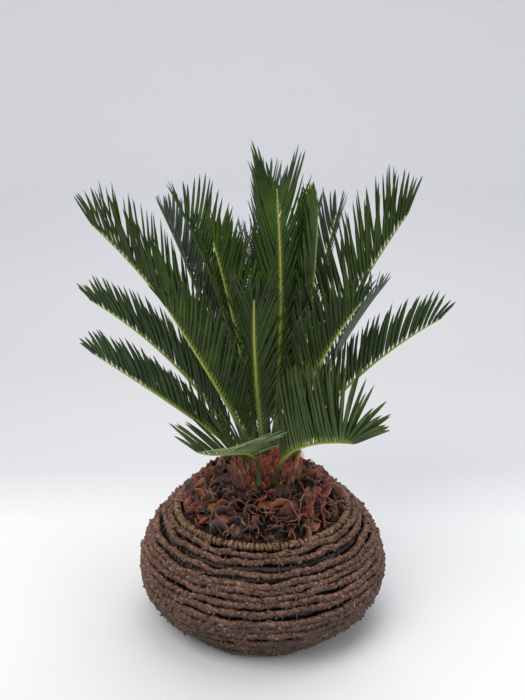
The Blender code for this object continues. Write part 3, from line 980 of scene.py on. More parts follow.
    def build_ribs(self, material: Material) -> Object:
        """Every stalk and rib as a tapered, keeled rod with a swollen foot."""
        steps = [lerp((self.rib_sink, 1.0), (i / (self.rib_rings - 1)) ** 1.15) for i in range(self.rib_rings)]
        points = []
        faces = []
        uvs = []
        for frond in self.fronds:
            start = len(points)
            tube = tube_faces(self.rib_rings, self.rib_sides)
            faces += [tuple(start + corner for corner in face) for face in tube]
            for station, step in zip(self.path(frond, steps), steps):
                share = max(step, 0.0)
                leafy = (step - frond.stalk) / (1.0 - frond.stalk)
                along = lerp((0.2, 1.0), leafy) if leafy > 0.0 else 0.2 * share / frond.stalk
                swell = 1.0 + self.foot_swell * max(0.0, 1.0 - share / self.foot_reach) ** 2
                half = lerp(self.rib_width, share) / 2.0 * swell
                tall = lerp(self.rib_height, share) / 2.0 * swell
                for side in range(self.rib_sides):
                    angle = math.tau * side / self.rib_sides
                    rise = tall * math.sin(angle) * (self.flat_top if math.sin(angle) > 0.0 else 1.0)
                    points.append(station.point + station.side * (half * math.cos(angle)) + station.upper * rise)
                    uvs.append((along, side / self.rib_sides))
        return make_mesh("frond_ribs", points, faces, uvs, material)

    def build(self, scatter: Scatter) -> None:
        """Builds the ribs and the leaflets and publishes them.

        Args:
            scatter: the tree that copies leaflets.
        """
        nodes = [f"frond_{number:02d}" for number in range(1, len(self.fronds) + 1)]
        publish(self.build_ribs(RibFinish().make()), "leaf", *nodes)
        greens = {
            # Painted highlight: pale greens for the swept-back row lit on top.
            Tier.PALE: ((0.150, 0.230, 0.095), (0.290, 0.380, 0.180)),
            # Painted sheen: the back fronds' paler bluish green stands in for sky light on their satin leaflets.
            Tier.BACK: ((0.034, 0.062, 0.042), (0.078, 0.118, 0.082)),
            Tier.LOW: ((0.022, 0.048, 0.009), (0.062, 0.105, 0.024)),
            # The slight bluish tint here is painted sheen as well.
            Tier.OUTER: ((0.014, 0.036, 0.011), (0.038, 0.076, 0.020)),
            Tier.MIDDLE: ((0.009, 0.027, 0.002), (0.034, 0.080, 0.004)),
            Tier.INNER: ((0.011, 0.034, 0.002), (0.042, 0.098, 0.004)),
        }
        rng = np.random.default_rng(SEED)
        leaves = [leaf for frond in self.fronds for leaf in self.leaf_places(frond, rng)]
        for tier, (deep, bright) in greens.items():
            finish = LeafFinish(f"leaf_{tier.value}", deep, bright).make()
            chosen = [place for other, place in leaves if other is tier]
            variants = self.leaf_variants(rng)
            piece = scatter.copy(f"leaflets_{tier.value}", variants, chosen, finish, math.radians(self.jitter))
            publish(piece, "leaf", *nodes)


# ---------------------------------------------------------------------------------------------- trunk


@dataclass
class Trunk:
    """The short trunk: a ribbed core under overlapping woolly scales."""

    profile: tuple[Pair, ...] = (
        (0.0350, 0.1183), (0.0370, 0.1380), (0.0385, 0.1580), (0.0385, 0.1750), (0.0352, 0.1900),
        (0.0285, 0.2010), (0.0175, 0.2085), (0.0070, 0.2115), (0.0, 0.2125),
    )
    segments: int = 72
    rows: int = 30
    tip_gap: float = 0.0004
    relief: float = 0.0016
    scale_count: int = 300
    scale_span: Pair = (0.141, 0.2085)
    scale_length: float = 0.0135
    scale_rows: int = 7
    scale_section: tuple[Pair, ...] = (
        (-0.5, 0.0), (-0.28, 0.17), (0.0, 0.24), (0.28, 0.17), (0.5, 0.0), (0.0, -0.12),
    )
    scale_sink: float = 0.0016
    scale_tilt: float = 26.0
    scale_lean: float = 0.42
    slope_step: float = 0.002
    amber_spots: tuple[Pair, ...] = (
        (258.0, 0.1640), (275.0, 0.1625), (322.0, 0.1680), (330.0, 0.1770), (118.0, 0.1660),
    )
    amber_reach: float = 0.0075
    amber_chance: float = 0.05
    variants: int = 4
    fibres: int = 520
    fibre_span: Pair = (0.158, 0.207)
    fibre_steps: int = 5
    fibre_radius: float = 0.00028

    def radius_at(self, height: float) -> float:
        """Radius of the core at a height."""
        radii, heights = zip(*self.profile)
        return float(np.interp(height, heights, radii))

    def build_core(self, material: Material) -> Object:
        """The core, from its flat cut to its rounded top."""
        ends = (self.profile[0][1], self.profile[-1][1] - self.tip_gap)
        heights = [lerp(ends, smooth_step(0.5 + 0.5 * i / self.rows) * 2.0 - 1.0) for i in range(self.rows)]
        points = []
        for x, y, z in lathe([(self.radius_at(height), height) for height in heights], self.segments):
            at = Vector((x, y, z))
            swell = self.relief * (noise.noise(at * 160.0) + 0.5 * noise.noise(at * 420.0)) / math.hypot(x, y)
            points.append((x * (1.0 + swell) + PLANT_X, y * (1.0 + swell), z))
        faces = tube_faces(len(heights), self.segments)
        return make_mesh("trunk_core", points, faces, [(0.2, 0.5)] * len(points), material)

    def build_scale(self, rng: Random) -> Object:
        """One pointed scale of unit length along +X, with its outer face to +Z."""
        lean = rng.uniform(-0.12, 0.12)
        points = []
        uvs = []
        for row in range(self.scale_rows):
            along = row / (self.scale_rows - 1)
            width = 0.80 * math.sqrt(1.0 - 0.97 * along**2.0) * (0.85 + 0.15 * math.sin(3.0 * along))
            rise = 0.12 * along**2
            for across, height in self.scale_section:
                ragged = rng.uniform(-0.05, 0.05)
                points.append((along, across * width + lean * along + ragged, height * width + rise + ragged * 0.6))
                uvs.append((along, across + 0.5))
        return make_mesh("scale", points, tube_faces(self.scale_rows, len(self.scale_section)), uvs)

    def is_amber(self, angle: float, height: float) -> bool:
        """Whether a place is in one of the amber patches."""
        for heading, middle in self.amber_spots:
            turn = (angle - math.radians(heading) + math.pi) % math.tau - math.pi
            if math.hypot(turn * self.radius_at(height), height - middle) < self.amber_reach:
                return True
        return False

    def scale_places(self, rng: Random) -> list[tuple[bool, Placement]]:
        """Scales in the loose spiral that leaves and scales grow in.

        Args:
            rng: source of the small differences.

        Returns:
            For each scale, whether it is amber, and its placement.
        """
        found = []
        golden = math.pi * (3.0 - math.sqrt(5.0))
        for index in range(self.scale_count):
            share = index / (self.scale_count - 1)
            height = lerp(self.scale_span, share**0.9) + rng.normal(0.0, 0.0012)
            angle = index * golden + rng.normal(0.0, 0.11)
            slope = self.radius_at(height + self.slope_step) - self.radius_at(height - self.slope_step)
            slope /= 2.0 * self.slope_step
            out = level_heading(angle)
            up = (UP + out * slope).normalized()
            outward = (out - UP * slope).normalized()
            tilt = math.radians(rng.uniform(0.0, self.scale_tilt))
            across = outward.cross(up) * rng.normal(0.0, self.scale_lean)
            direction = (up * math.cos(tilt) + outward * math.sin(tilt) + across).normalized()
            normal = (outward - direction * outward.dot(direction)).normalized()
            place = out * (self.radius_at(height) - self.scale_sink) + Vector((PLANT_X, 0.0, height))
            size = self.scale_length * rng.uniform(0.62, 1.22) * lerp((1.0, 0.74), share)
            stretch = (size, size * rng.uniform(0.80, 1.25), size * rng.uniform(0.55, 0.95))
            turn = Matrix((direction, normal.cross(direction), normal)).transposed()
            placed = Placement(place, turn, stretch, int(rng.integers(self.variants)))
            found.append((self.is_amber(angle, height) or rng.random() < self.amber_chance, placed))
        return found

    def wool_paths(self, rng: Random) -> list[Path]:
        """Short loose fibres among the scales and stalk feet."""
        paths = []
        for _ in range(self.fibres):
            height = rng.uniform(*self.fibre_span)
            angle = rng.uniform(0.0, math.tau)
            out = np.array([math.cos(angle), math.sin(angle), 0.0])
            step = out * rng.uniform(0.0003, 0.0011) + np.array([0.0, 0.0, rng.uniform(0.0008, 0.0020)])
            points = [out * self.radius_at(height) + np.array([PLANT_X, 0.0, height])]
            for _ in range(self.fibre_steps):
                step = step + rng.normal(0.0, 0.00035, 3)
                points.append(points[-1] + step)
            paths.append((np.array(points), np.linspace(1.0, 0.3, len(points)), False))
        return paths

    def build(self, scatter: Scatter, stems: Stems) -> None:
        """Builds and publishes the core, the scales and the wool.

        Args:
            scatter: the tree that copies scales.
            stems: the tree that makes fibres.
        """
        rust = ScaleFinish("scale_rust", (0.030, 0.003, 0.002), (0.190, 0.013, 0.007), (0.450, 0.078, 0.022)).make()
        gold = ScaleFinish("scale_gold", (0.200, 0.045, 0.012), (0.480, 0.165, 0.034), (0.700, 0.390, 0.100)).make()
        dark = ScaleFinish("trunk_dark", (0.014, 0.004, 0.003), (0.060, 0.013, 0.007), (0.130, 0.030, 0.012)).make()
        publish(self.build_core(dark), "trunk_scales", "trunk")
        rng = np.random.default_rng(SEED + 7)
        places = self.scale_places(rng)
        for name, finish, amber in (("trunk_scales_rust", rust, False), ("trunk_scales_gold", gold, True)):
            shapes = [self.build_scale(rng) for _ in range(self.variants)]
            chosen = [placed for kind, placed in places if kind is amber]
            publish(scatter.copy(name, shapes, chosen, finish), "trunk_scales", "trunk")
        fibres = self.wool_paths(np.random.default_rng(SEED + 8))
        publish(stems.sweep("trunk_wool", fibres, gold, self.fibre_radius, 4), "trunk_scales", "trunk")


# ---------------------------------------------------------------------------------------------- bark


class CurlKind(Enum):
    """The colours that the loose bark comes in; near the trunk the dark one is also painted shade."""

    RED = "red"
    DARK = "dark"
    PALE = "pale"


@dataclass
class BarkMulch:
    """Curled pieces of dry bark heaped round the trunk, over a dark bed."""

    inner_radius: float = 0.0400
    outer_radius: float = 0.0905
    profile: tuple[Pair, ...] = (
        (0.0400, 0.1570), (0.0510, 0.1605), (0.0600, 0.1565), (0.0700, 0.1480), (0.0800, 0.1385), (0.0890, 0.1310),
    )
    bed_foot: float = 0.1165
    bed_segments: int = 96
    count: int = 460
    kinds: tuple[CurlKind, ...] = (CurlKind.RED,) * 3 + (CurlKind.DARK,) * 3 + (CurlKind.PALE,)
    shaded_share: float = 0.24
    size: Pair = (0.0070, 0.0118)
    stretch: tuple[Pair, ...] = ((0.85, 1.15), (0.85, 1.15), (0.8, 1.15))
    lift: Pair = (-0.001, 0.0060)
    tilt: Pair = (0.80, 0.45)
    edge_margin: float = 0.003
    edge_width: float = 0.009
    edge_share: float = 0.8
    curl_turn: Pair = (2.6, 4.6)
    curl_length: Pair = (1.7, 2.5)
    curl_height: Pair = (1.10, 1.70)
    curl_flare: Pair = (0.30, 0.75)
    flip_chance: float = 0.45
    rows: int = 18
    columns: int = 5
    thickness: float = 0.120
    variants: int = 9
    husks: tuple[tuple[tuple[float, float, float], float], ...] = (
        ((-0.0440, -0.0735, 0.1365), 0.0110),
        ((0.0300, 0.0700, 0.1440), 0.0110),
    )
    twigs: tuple[tuple[tuple[float, float, float], tuple[float, float, float]], ...] = (
        ((-0.0790, -0.0300, 0.1440), (-0.0480, -0.0520, 0.1640)),
        ((0.0700, 0.0360, 0.1440), (0.0420, 0.0560, 0.1600)),
    )
    twig_radius: float = 0.0009

    def height_at(self, radius: float) -> float:
        """Height of the bed at a distance from the axis."""
        radii, heights = zip(*self.profile)
        return float(np.interp(radius, radii, heights))

    def build_bed(self, material: Material) -> Object:
        """The dark bed of small crumbs that shows between the curls, its darkness partly painted shade under them.
        """
        inner = self.inner_radius - 0.004
        rings = [(inner, self.bed_foot), (0.0865, self.bed_foot), (0.0892, 0.1240)]
        rings += [(radius, self.height_at(radius) - 0.002) for radius in np.linspace(0.0886, inner, 22)]
        points = [Vector(point) for point in lathe(rings, self.bed_segments)]
        for at in points:
            if at.z > self.bed_foot + 0.004:
                at.z += 0.0032 * noise.noise(at * 90.0) + 0.0016 * noise.noise(at * 260.0)
        return make_mesh("bark_bed", points, tube_faces(len(rings), self.bed_segments, True), None, material)

    def build_curl(self, rng: Random) -> Object:
        """One curled ribbon of bark about one unit across, standing on its edge, with real thickness."""
        turn = rng.uniform(*self.curl_turn) * (1.0 if rng.random() < 0.5 else -1.0)
        flip = rng.random() < self.flip_chance
        length = rng.uniform(*self.curl_length)
        height = rng.uniform(*self.curl_height)
        flare = rng.uniform(*self.curl_flare) * (1.6 if turn < 0.0 else -1.6)
        phase = rng.uniform(0.0, math.tau)
        tight = rng.uniform(0.0, 1.2)
        shift = Vector(rng.uniform(-9.0, 9.0, 3))
        heading = rng.uniform(0.0, math.tau)
        middle = Vector((0.0, 0.0, 0.0))
        line: list[tuple[Vector, Vector]] = []
        for row in range(self.rows):
            share = row / (self.rows - 1)
            line.append((middle.copy(), level_heading(heading + math.pi / 2.0)))
            bend = turn * (1.0 + tight * (share - 0.5) * 2.0)
            if flip:
                bend *= -0.72 if share > 0.5 else 0.8
            heading += bend / (self.rows - 1)
            middle += level_heading(heading) * (length / (self.rows - 1))
        centre = sum((place for place, _ in line), Vector()) / self.rows
        faces_of: list[list[Vector]] = [[], []]
        edges = []
        for row, (place, normal) in enumerate(line):
            share = row / (self.rows - 1)
            tall = height * (0.55 + 0.45 * math.sin(math.pi * min(max(share, 0.06), 0.94)))
            tall *= 1.0 + 0.16 * math.sin(7.0 * share + phase)
            for column in range(self.columns):
                up = column / (self.columns - 1)
                point = place - centre + UP * ((up - 0.45) * tall) + normal * (flare * (up - 0.3) ** 2)
                point += Vector(noise.noise_vector(point * 1.9 + shift)) * 0.20
                half = normal * (self.thickness * (0.5 if 0 < column < self.columns - 1 else 0.34))
                faces_of[0].append(point + half)
                faces_of[1].append(point - half)
                edge = max(abs(up - 0.5), abs(share - 0.5)) * 2.0
                edges.append(edge**3 if up > 0.5 or edge > 0.95 else 0.3)
        points = faces_of[0] + faces_of[1]
        uvs = [(edge, side) for side in (0.0, 1.0) for edge in edges]
        return make_mesh("curl", points, self.curl_faces(), uvs)

    def curl_faces(self) -> list[tuple[int, ...]]:
        """Faces of a curl: its two sides, then the narrow wall round its border."""
        count = self.rows * self.columns
        faces: list[tuple[int, ...]] = []
        for row in range(self.rows - 1):
            for column in range(self.columns - 1):
                low = row * self.columns + column
                quad = (low, low + 1, low + self.columns + 1, low + self.columns)
                faces += [quad, tuple(count + corner for corner in reversed(quad))]
        grid = np.arange(count).reshape(self.rows, self.columns)
        border = [*grid[:, 0], *grid[-1, 1:], *grid[-2::-1, -1], *grid[0, -2:0:-1]]
        for here, after in zip(border, border[1:] + border[:1]):
            faces.append(tuple(int(corner) for corner in (here, after, count + after, count + here)))
        return faces

    def curl_places(self, rng: Random) -> list[tuple[CurlKind, Placement]]:
        """Every curl's colour and place, spread evenly over the heap."""
        found = []
        spread = ((self.inner_radius + self.edge_margin) ** 2, (self.outer_radius - self.edge_margin) ** 2)
        for index in range(self.count):
            share = (index * 0.7548777) % 1.0
            radius = math.sqrt(lerp(spread, share))
            angle = math.tau * (index * 0.5698403) + rng.normal(0.0, 0.05)
            outermost = radius > self.outer_radius - self.edge_width
            size = rng.uniform(*self.size) * (self.edge_share if outermost else 1.0)
            height = self.height_at(radius) + rng.uniform(*self.lift)
            slope = math.atan2(self.height_at(radius + 0.003) - self.height_at(radius - 0.003), 0.006)
            turn = Matrix.Rotation(angle, 3, "Z") @ Matrix.Rotation(-slope * 0.6, 3, "Y")
            turn @= Matrix.Rotation(abs(rng.normal(*self.tilt)), 3, level_heading(7.0 * index))
            turn @= Matrix.Rotation(rng.uniform(0.0, math.tau), 3, "Z")
            kind = self.kinds[int(rng.integers(len(self.kinds)))]
            # Painted shade: near the trunk two curls in three take the dark colours.
            if share < self.shaded_share and index % 3:
                kind = CurlKind.DARK
            stretch = tuple(size * rng.uniform(*ends) for ends in self.stretch)
            place = level_heading(angle) * radius + UP * height
            found.append((kind, Placement(place, turn, stretch, int(rng.integers(self.variants)))))
        return found

    def twig_path(self, foot: Vector, tip: Vector, rng: Random) -> Path:
        """A thin crooked twig between two points."""
        points = np.array([foot.lerp(tip, share) for share in np.linspace(0.0, 1.0, 9)])
        return points + rng.normal(0.0, 0.0005, points.shape), np.linspace(1.0, 0.5, len(points)), False

    def build(self, scatter: Scatter, stems: Stems) -> None:
        """Builds and publishes the bed, the curls, the husks and the twigs.

        Args:
            scatter: the tree that copies curls.
            stems: the tree that makes twigs.
        """
        part = ("bark_mulch", "bark_mulch")
        publish(self.build_bed(EarthFinish("bark_shade").make()), *part)
        browns = {
            CurlKind.RED: ((0.240, 0.074, 0.042), (0.150, 0.046, 0.030), (0.310, 0.108, 0.064)),
            CurlKind.DARK: ((0.046, 0.017, 0.015), (0.030, 0.024, 0.027), (0.150, 0.062, 0.042)),
            CurlKind.PALE: ((0.250, 0.110, 0.062), (0.105, 0.080, 0.066), (0.320, 0.175, 0.100)),
        }
        places = self.curl_places(np.random.default_rng(SEED + 21))
        for kind, colours in browns.items():
            rng = np.random.default_rng(SEED + 22)
            shapes = [self.build_curl(rng) for _ in range(self.variants)]
            chosen = [placed for other, placed in places if other is kind]
            finish = CurlFinish(f"curl_{kind.value}", *colours).make()
            publish(scatter.copy(f"bark_curls_{kind.value}", shapes, chosen, finish), *part)
        rng = np.random.default_rng(SEED + 23)
        grey = CurlFinish("husk_grey", (0.060, 0.048, 0.047), (0.078, 0.066, 0.064), (0.130, 0.098, 0.084)).make()
        lie = Matrix.Rotation(0.5, 3, "X") @ Matrix.Rotation(2.2, 3, "Z")
        husks = [Placement(Vector(place), lie, (size, size, size), 0) for place, size in self.husks]
        publish(scatter.copy("bark_husks", [self.build_curl(rng)], husks, grey), *part)
        twigs = [self.twig_path(Vector(foot), Vector(tip), rng) for foot, tip in self.twigs]
        brown = CurlFinish("twig_brown", *[(0.150, 0.062, 0.040)] * 3).make()
        publish(stems.sweep("bark_twigs", twigs, brown, self.twig_radius, 7, 0.0003, 300.0), *part)


# ---------------------------------------------------------------------------------------------- pot


@dataclass
class VinePot:
    """The pot: strands of knobbly vine woven on wire ribs, round a dark liner with a flat underside."""

    belly_radius: float = 0.134
    belly_height: float = 0.062
    upper_span: float = 0.1027
    lower_span: float = 0.0873
    outline_power: float = 1.85
    first_height: float = 0.0062
    top_height: float = 0.1244
    rim_height: float = 0.1298
    strand_radius: float = 0.0034
    strand_out: float = 0.0023
    strand_sway: float = 0.0025
    strand_knot: float = 0.34
    low_share: float = 0.66
    full_from: float = 0.45
    foot_sway: float = 0.0004
    strand_shares: tuple[float, ...] = (
        0.0, 0.073, 0.151, 0.229, 0.312, 0.389, 0.448, 0.503, 0.573, 0.631, 0.687, 0.737, 0.779, 0.849, 0.942, 1.0,
    )
    strands_low: int = 7
    band_shares: tuple[float, ...] = (0.270, 0.419, 0.538, 0.814, 0.893)
    band_radius: float = 0.0034
    band_out: float = -0.0044
    band_sway: float = 0.0016
    band_knot: float = 0.06
    waves: tuple[Pair, ...] = (
        (2, 0.34), (3, 0.34), (5, 0.30), (9, 0.30), (14, 0.26), (21, 0.22), (29, 0.16),
    )
    step: float = 0.0018
    knot_pitch: float = 0.0105
    knot_reach: float = 0.0026
    bud_rows: tuple[Pair, ...] = ((-0.25, 1.15), (0.30, 0.92), (0.85, 0.58), (1.22, 0.34), (1.20, 0.12))
    bud_sides: int = 6
    bud_kinds: int = 5
    bud_pitch: float = 0.0041
    bud_size: Pair = (0.0010, 0.0022)
    bud_jitter: float = 0.2
    upper_buds: float = 0.72
    liner_inset: float = 0.0090
    wall: float = 0.0130
    floor: float = 0.0100
    liner_segments: int = 96
    wires: int = 12
    wire_radius: float = 0.0012
    wire_spread: float = 0.0075
    wrap_pitch: float = 0.0043
    wrap_radius: float = 0.0023
    wrap_points: int = 14
    threads: int = 46
    thread_radius: float = 0.00016
    thread_steps: int = 9

    def outline(self, height: float) -> float:
        """Radius of the strands' centres at a height."""
        span = self.upper_span if height > self.belly_height else self.lower_span
        share = abs(height - self.belly_height) / span
        return self.belly_radius * (1.0 - share**self.outline_power) ** (1.0 / self.outline_power)

    def stations(self, shares: Sequence[float]) -> list[tuple[Vector, Vector]]:
        """Points along the outline, each with its outward normal.

        Args:
            shares: how far up the outline each one is.

        Returns:
            Radius and height of each point, and of its normal.
        """
        heights = np.linspace(self.first_height, self.top_height, 600)
        radii = np.array([self.outline(height) for height in heights])
        lengths = np.concatenate([[0.0], np.cumsum(np.hypot(np.diff(radii), np.diff(heights)))])
        found = []
        for share in shares:
            wanted = np.array([share - 0.01, share, share + 0.01]).clip(0.0, 1.0) * lengths[-1]
            radius = np.interp(wanted, lengths, radii)
            height = np.interp(wanted, lengths, heights)
            along = Vector((float(radius[2] - radius[0]), float(height[2] - height[0]))).normalized()
            found.append((Vector((float(radius[1]), float(height[1]))), Vector((along.y, -along.x))))
        return found

    def ring(self, centre: Vector, normal: Vector, rng: Random, sway: float, knot: float) -> Path:
        """One ring of vine that wanders up, down, in and out, and swells at its knots.

        Args:
            centre: the ring's radius and height.
            normal: the outline's outward normal there.
            rng: source of its wandering.
            sway: the most that it wanders, in metres.
            knot: how much it swells at a knot, as a share.

        Returns:
            The ring's points, its thickness as a share at each, and True because it closes.
        """
        count = int(math.tau * centre.x / self.step)
        angles = np.linspace(0.0, math.tau, count, endpoint=False)
        rise = np.zeros(count)
        out = np.zeros(count)
        thick = np.ones(count)
        for wave, share in self.waves:
            rise += sway * share * rng.uniform(0.5, 1.2) * np.sin(wave * angles + rng.uniform(0.0, math.tau))
            out += sway * share * rng.uniform(0.3, 0.9) * np.sin(wave * angles + rng.uniform(0.0, math.tau))
            thick += 0.05 * rng.normal(0.0, 0.6) * np.sin(wave * angles + rng.uniform(0.0, math.tau))
        knots = int(math.tau * centre.x / self.knot_pitch)
        for k in range(knots):
            middle = (k + rng.uniform(-0.3, 0.3)) * math.tau / knots
            away = np.abs((angles - middle + math.pi) % math.tau - math.pi) * centre.x
            thick += knot * rng.uniform(0.3, 1.0) * np.exp(-((away / self.knot_reach) ** 2))
        radius = centre.x + normal.x * out - normal.y * rise
        height = centre.y + normal.y * out + normal.x * rise
        return np.column_stack([radius * np.cos(angles), radius * np.sin(angles), height]), thick, True

    def rings(self, shares: Sequence[float], out: float, rng: Random, sway: float, knot: float) -> list[Path]:
        """Rings at several places up the outline, thinner towards its foot.

        Args:
            shares: how far up the outline each ring is.
            out: how far outside the outline they lie.
            rng: source of their wandering.
            sway: the most that they wander, in metres.
            knot: how much they swell at a knot, as a share.

        Returns:
            The rings, lowest first.
        """
        paths = []
        for share, (centre, normal) in zip(shares, self.stations(shares)):
            swing = sway if share > 0.0 else self.foot_sway
            points, thick, closed = self.ring(centre + normal * out, normal, rng, swing, knot)
            slimmed = lerp((self.low_share, 1.0), min(share / self.full_from, 1.0))
            paths.append((points, thick * slimmed, closed))
        return paths

    def build_bud(self, rng: Random) -> Object:
        """One blunt thorny bud of unit size, standing along +Z from its foot."""
        lean = rng.uniform(0.0, 0.5)
        tallest = max(height for height, _ in self.bud_rows)
        points = []
        uvs = []
        for height, width in self.bud_rows:
            for side in range(self.bud_sides):
                angle = math.tau * side / self.bud_sides
                ragged = width * (1.0 + rng.uniform(-0.20, 0.20))
                x = math.cos(angle) * ragged + lean * height * abs(height)
                points.append((x, math.sin(angle) * ragged, height + rng.uniform(-0.08, 0.08)))
                uvs.append((max(height, 0.0) / tallest, side / self.bud_sides))
        return make_mesh("bud", points, tube_faces(len(self.bud_rows), self.bud_sides), uvs)

    def bud_places(self, paths: Sequence[Path], rng: Random) -> list[Placement]:
        """Buds along the outer side of the rings, most of them on the upper edge.

        Args:
            paths: the rings.
            rng: source of the differences.

        Returns:
            A placement for each bud.
        """
        found = []
        gap = self.bud_pitch / self.step
        for points, shares, _ in paths:
            count = len(points)
            at = rng.uniform(0.0, gap)
            while at < count:
                here = int(at)
                at += gap * rng.uniform(0.5, 1.5)
                point = Vector(points[here])
                share = float(shares[here])
                along = (Vector(points[(here + 1) % count]) - Vector(points[here - 1])).normalized()
                out = Vector((point.x, point.y, 0.0)).normalized()
                up = out.cross(along).normalized()
                up = up if up.z > 0.0 else -up
                swing = rng.normal(0.92, 0.20) if rng.random() < self.upper_buds else rng.normal(-0.70, 0.45)
                normal = out * math.cos(swing) + up * math.sin(swing) + along * rng.normal(0.0, 0.25)
                normal.normalize()
                side = along.cross(normal).normalized()
                size = rng.uniform(*self.bud_size) * min(share, 1.0)
                foot = point + normal * (self.strand_radius * share * 0.90)
                tall = size * rng.uniform(0.7, 1.35)
                if foot.z + normal.z * tall * 1.3 < size * 1.4:
                    continue
                turn = Matrix((side.cross(normal), side, normal)).transposed()
                found.append(Placement(foot, turn, (size, size, tall), int(rng.integers(self.bud_kinds))))
        return found

    def wraps(self, rng: Random) -> list[Path]:
        """The split vine bound round and round the rim's core."""
        radius = self.outline(self.rim_height)
        count = int(math.tau * radius / self.wrap_pitch)
        turns = np.linspace(0.0, math.tau, self.wrap_points, endpoint=False)[:, None]
        paths = []
        for k in range(count):
            angle = math.tau * (k + rng.uniform(-0.3, 0.3)) / count
            out = np.array([math.cos(angle), math.sin(angle), 0.0])
            around = np.array([-math.sin(angle), math.cos(angle), 0.0])
            slant = rng.normal(0.00045, 0.00060)
            loop = rng.uniform(0.0024, 0.0033)
            points = out * (radius + loop * np.cos(turns)) + around * slant * np.cos(turns + 0.6)
            points = points + np.array([0.0, 0.0, 1.0]) * (self.rim_height + loop * np.sin(turns))
            paths.append((points, np.full(self.wrap_points, rng.uniform(0.70, 1.18)), True))
        return paths

    def thread_paths(self, rng: Random) -> list[Path]:
        """Fine pale fibres caught on the thorns."""
        paths = []
        for _ in range(self.threads):
            out = level_heading(rng.uniform(0.0, math.tau))
            around = UP.cross(out)
            centre, normal = self.stations([rng.uniform(0.30, 0.90)])[0]
            place = centre + normal * (self.strand_out + self.strand_radius + 0.0008)
            rise = UP * normal.x - out * normal.y
            heading = rng.uniform(0.0, math.tau)
            points = [out * place.x + UP * place.y]
            for _ in range(self.thread_steps):
                heading += rng.normal(0.0, 0.55)
                step = around * math.cos(heading) + rise * math.sin(heading)
                points.append(points[-1] + step * 0.0011 + out * rng.uniform(-0.0003, 0.0003))
            paths.append((np.array([tuple(point) for point in points]), np.ones(len(points)), False))
        return paths

    def wire_paths(self) -> list[Path]:
        """Upright ribs in pairs that the rings are tied to, seen in the gaps between them."""
        paths = []
        stations = self.stations(np.linspace(0.0, 1.0, 30))
        for k in range(self.wires):
            for spread in (-self.wire_spread, self.wire_spread):
                out = level_heading(math.tau * (k + 0.4) / self.wires + spread / self.belly_radius)
                places = [centre + normal * 0.0006 for centre, normal in stations]
                points = [tuple(out * place.x + UP * max(place.y, 0.0015)) for place in places]
                paths.append((np.array(points), np.ones(len(points)), False))
        return paths

    def build_liner(self, material: Material) -> Object:
        """The dark inner basket, closed under the soil and flat underneath."""
        outer = [
            (centre.x - normal.x * self.liner_inset, centre.y - normal.y * self.liner_inset * 0.5)
            for centre, normal in self.stations([k / 23 for k in range(24)])
        ]
        outer[0] = (outer[0][0], 0.004)
        inner = [(outer[-1][0] - 0.004, outer[-1][1] - 0.001)]
        heights = (0.104, 0.086, 0.062, 0.040, 0.022, self.floor)
        inner += [(self.outline(height) - self.wall, height) for height in heights]
        rings = [(self.outline(self.first_height) - 0.002, 0.0), *outer, *inner]
        points = lathe(rings, self.liner_segments)
        return make_mesh("pot_liner", points, tube_faces(len(rings), self.liner_segments), None, material)

    def build(self, scatter: Scatter, stems: Stems) -> None:
        """Builds and publishes every piece of the pot.

        Args:
            scatter: the tree that copies buds.
            stems: the tree that makes rings and wires.
        """
        pot = ("woven_vine", "pot")
        rim = ("wrapped_vine", "rim_coil")
        rng = np.random.default_rng(SEED + 40)
        vine = VineFinish("vine_bark", (0.020, 0.011, 0.008), (0.096, 0.052, 0.032), (0.250, 0.148, 0.093)).make()
        # The bands are recessed bark, but their colour is darkened below the vine's as painted shade between the
        # rows and under the rim wraps.
        band = VineFinish("vine_band", (0.010, 0.007, 0.005), (0.042, 0.029, 0.022), (0.095, 0.068, 0.052)).make()
        bud = VineFinish("vine_bud", (0.050, 0.021, 0.015), (0.185, 0.092, 0.062), (0.390, 0.235, 0.160)).make()
        wrap = VineFinish("vine_wrapped", (0.045, 0.023, 0.013), (0.175, 0.098, 0.055), (0.330, 0.210, 0.125)).make()
        pale = (0.5, 0.5, 0.5)
        thread = LeafFinish("thread_white", (0.50, 0.48, 0.46), (0.62, 0.60, 0.58), pale, pale, 0.8).make()
        liner = EarthFinish("liner_dark", (0.003, 0.002, 0.002), (0.014, 0.010, 0.008)).make()
        publish(self.build_liner(liner), *pot)
        strands = self.rings(self.strand_shares, self.strand_out, rng, self.strand_sway, self.strand_knot)
        halves = {"vine_strands_low": strands[: self.strands_low], "vine_strands_high": strands[self.strands_low :]}
        for name, part in halves.items():
            # Each vine piece stores how far it faces upward, which its finish reads for painted top light and shade.
            publish(ground_and_mark_toplight(stems.sweep(name, part, vine, self.strand_radius, 12, 0.0042, 260.0)), *pot)
        bands = self.rings(self.band_shares, self.band_out, rng, self.band_sway, self.band_knot)
        publish(ground_and_mark_toplight(stems.sweep("vine_bands", bands, band, self.band_radius, 9, 0.0014, 120.0)), *pot)
        shapes = [self.build_bud(rng) for _ in range(self.bud_kinds)]
        places = self.bud_places(strands, rng)
        publish(ground_and_mark_toplight(scatter.copy("vine_buds", shapes, places, bud, self.bud_jitter)), *pot)
        middle = Vector((self.outline(self.rim_height), self.rim_height))
        core = [self.ring(middle, Vector((1.0, 0.0)), rng, self.foot_sway, 0.0)]
        publish(ground_and_mark_toplight(stems.sweep("rim_core", core, band, self.strand_radius * 0.85, 10)), *rim)
        turns = stems.sweep("rim_wrapped", self.wraps(rng), wrap, self.wrap_radius, 9, 0.0022, 300.0)
        publish(ground_and_mark_toplight(turns), *rim)
        publish(stems.sweep("pot_threads", self.thread_paths(rng), thread, self.thread_radius, 4), *pot)
        publish(stems.sweep("pot_wires", self.wire_paths(), WireFinish().make(), self.wire_radius, 6), *pot)


# ---------------------------------------------------------------------------------------------- studio


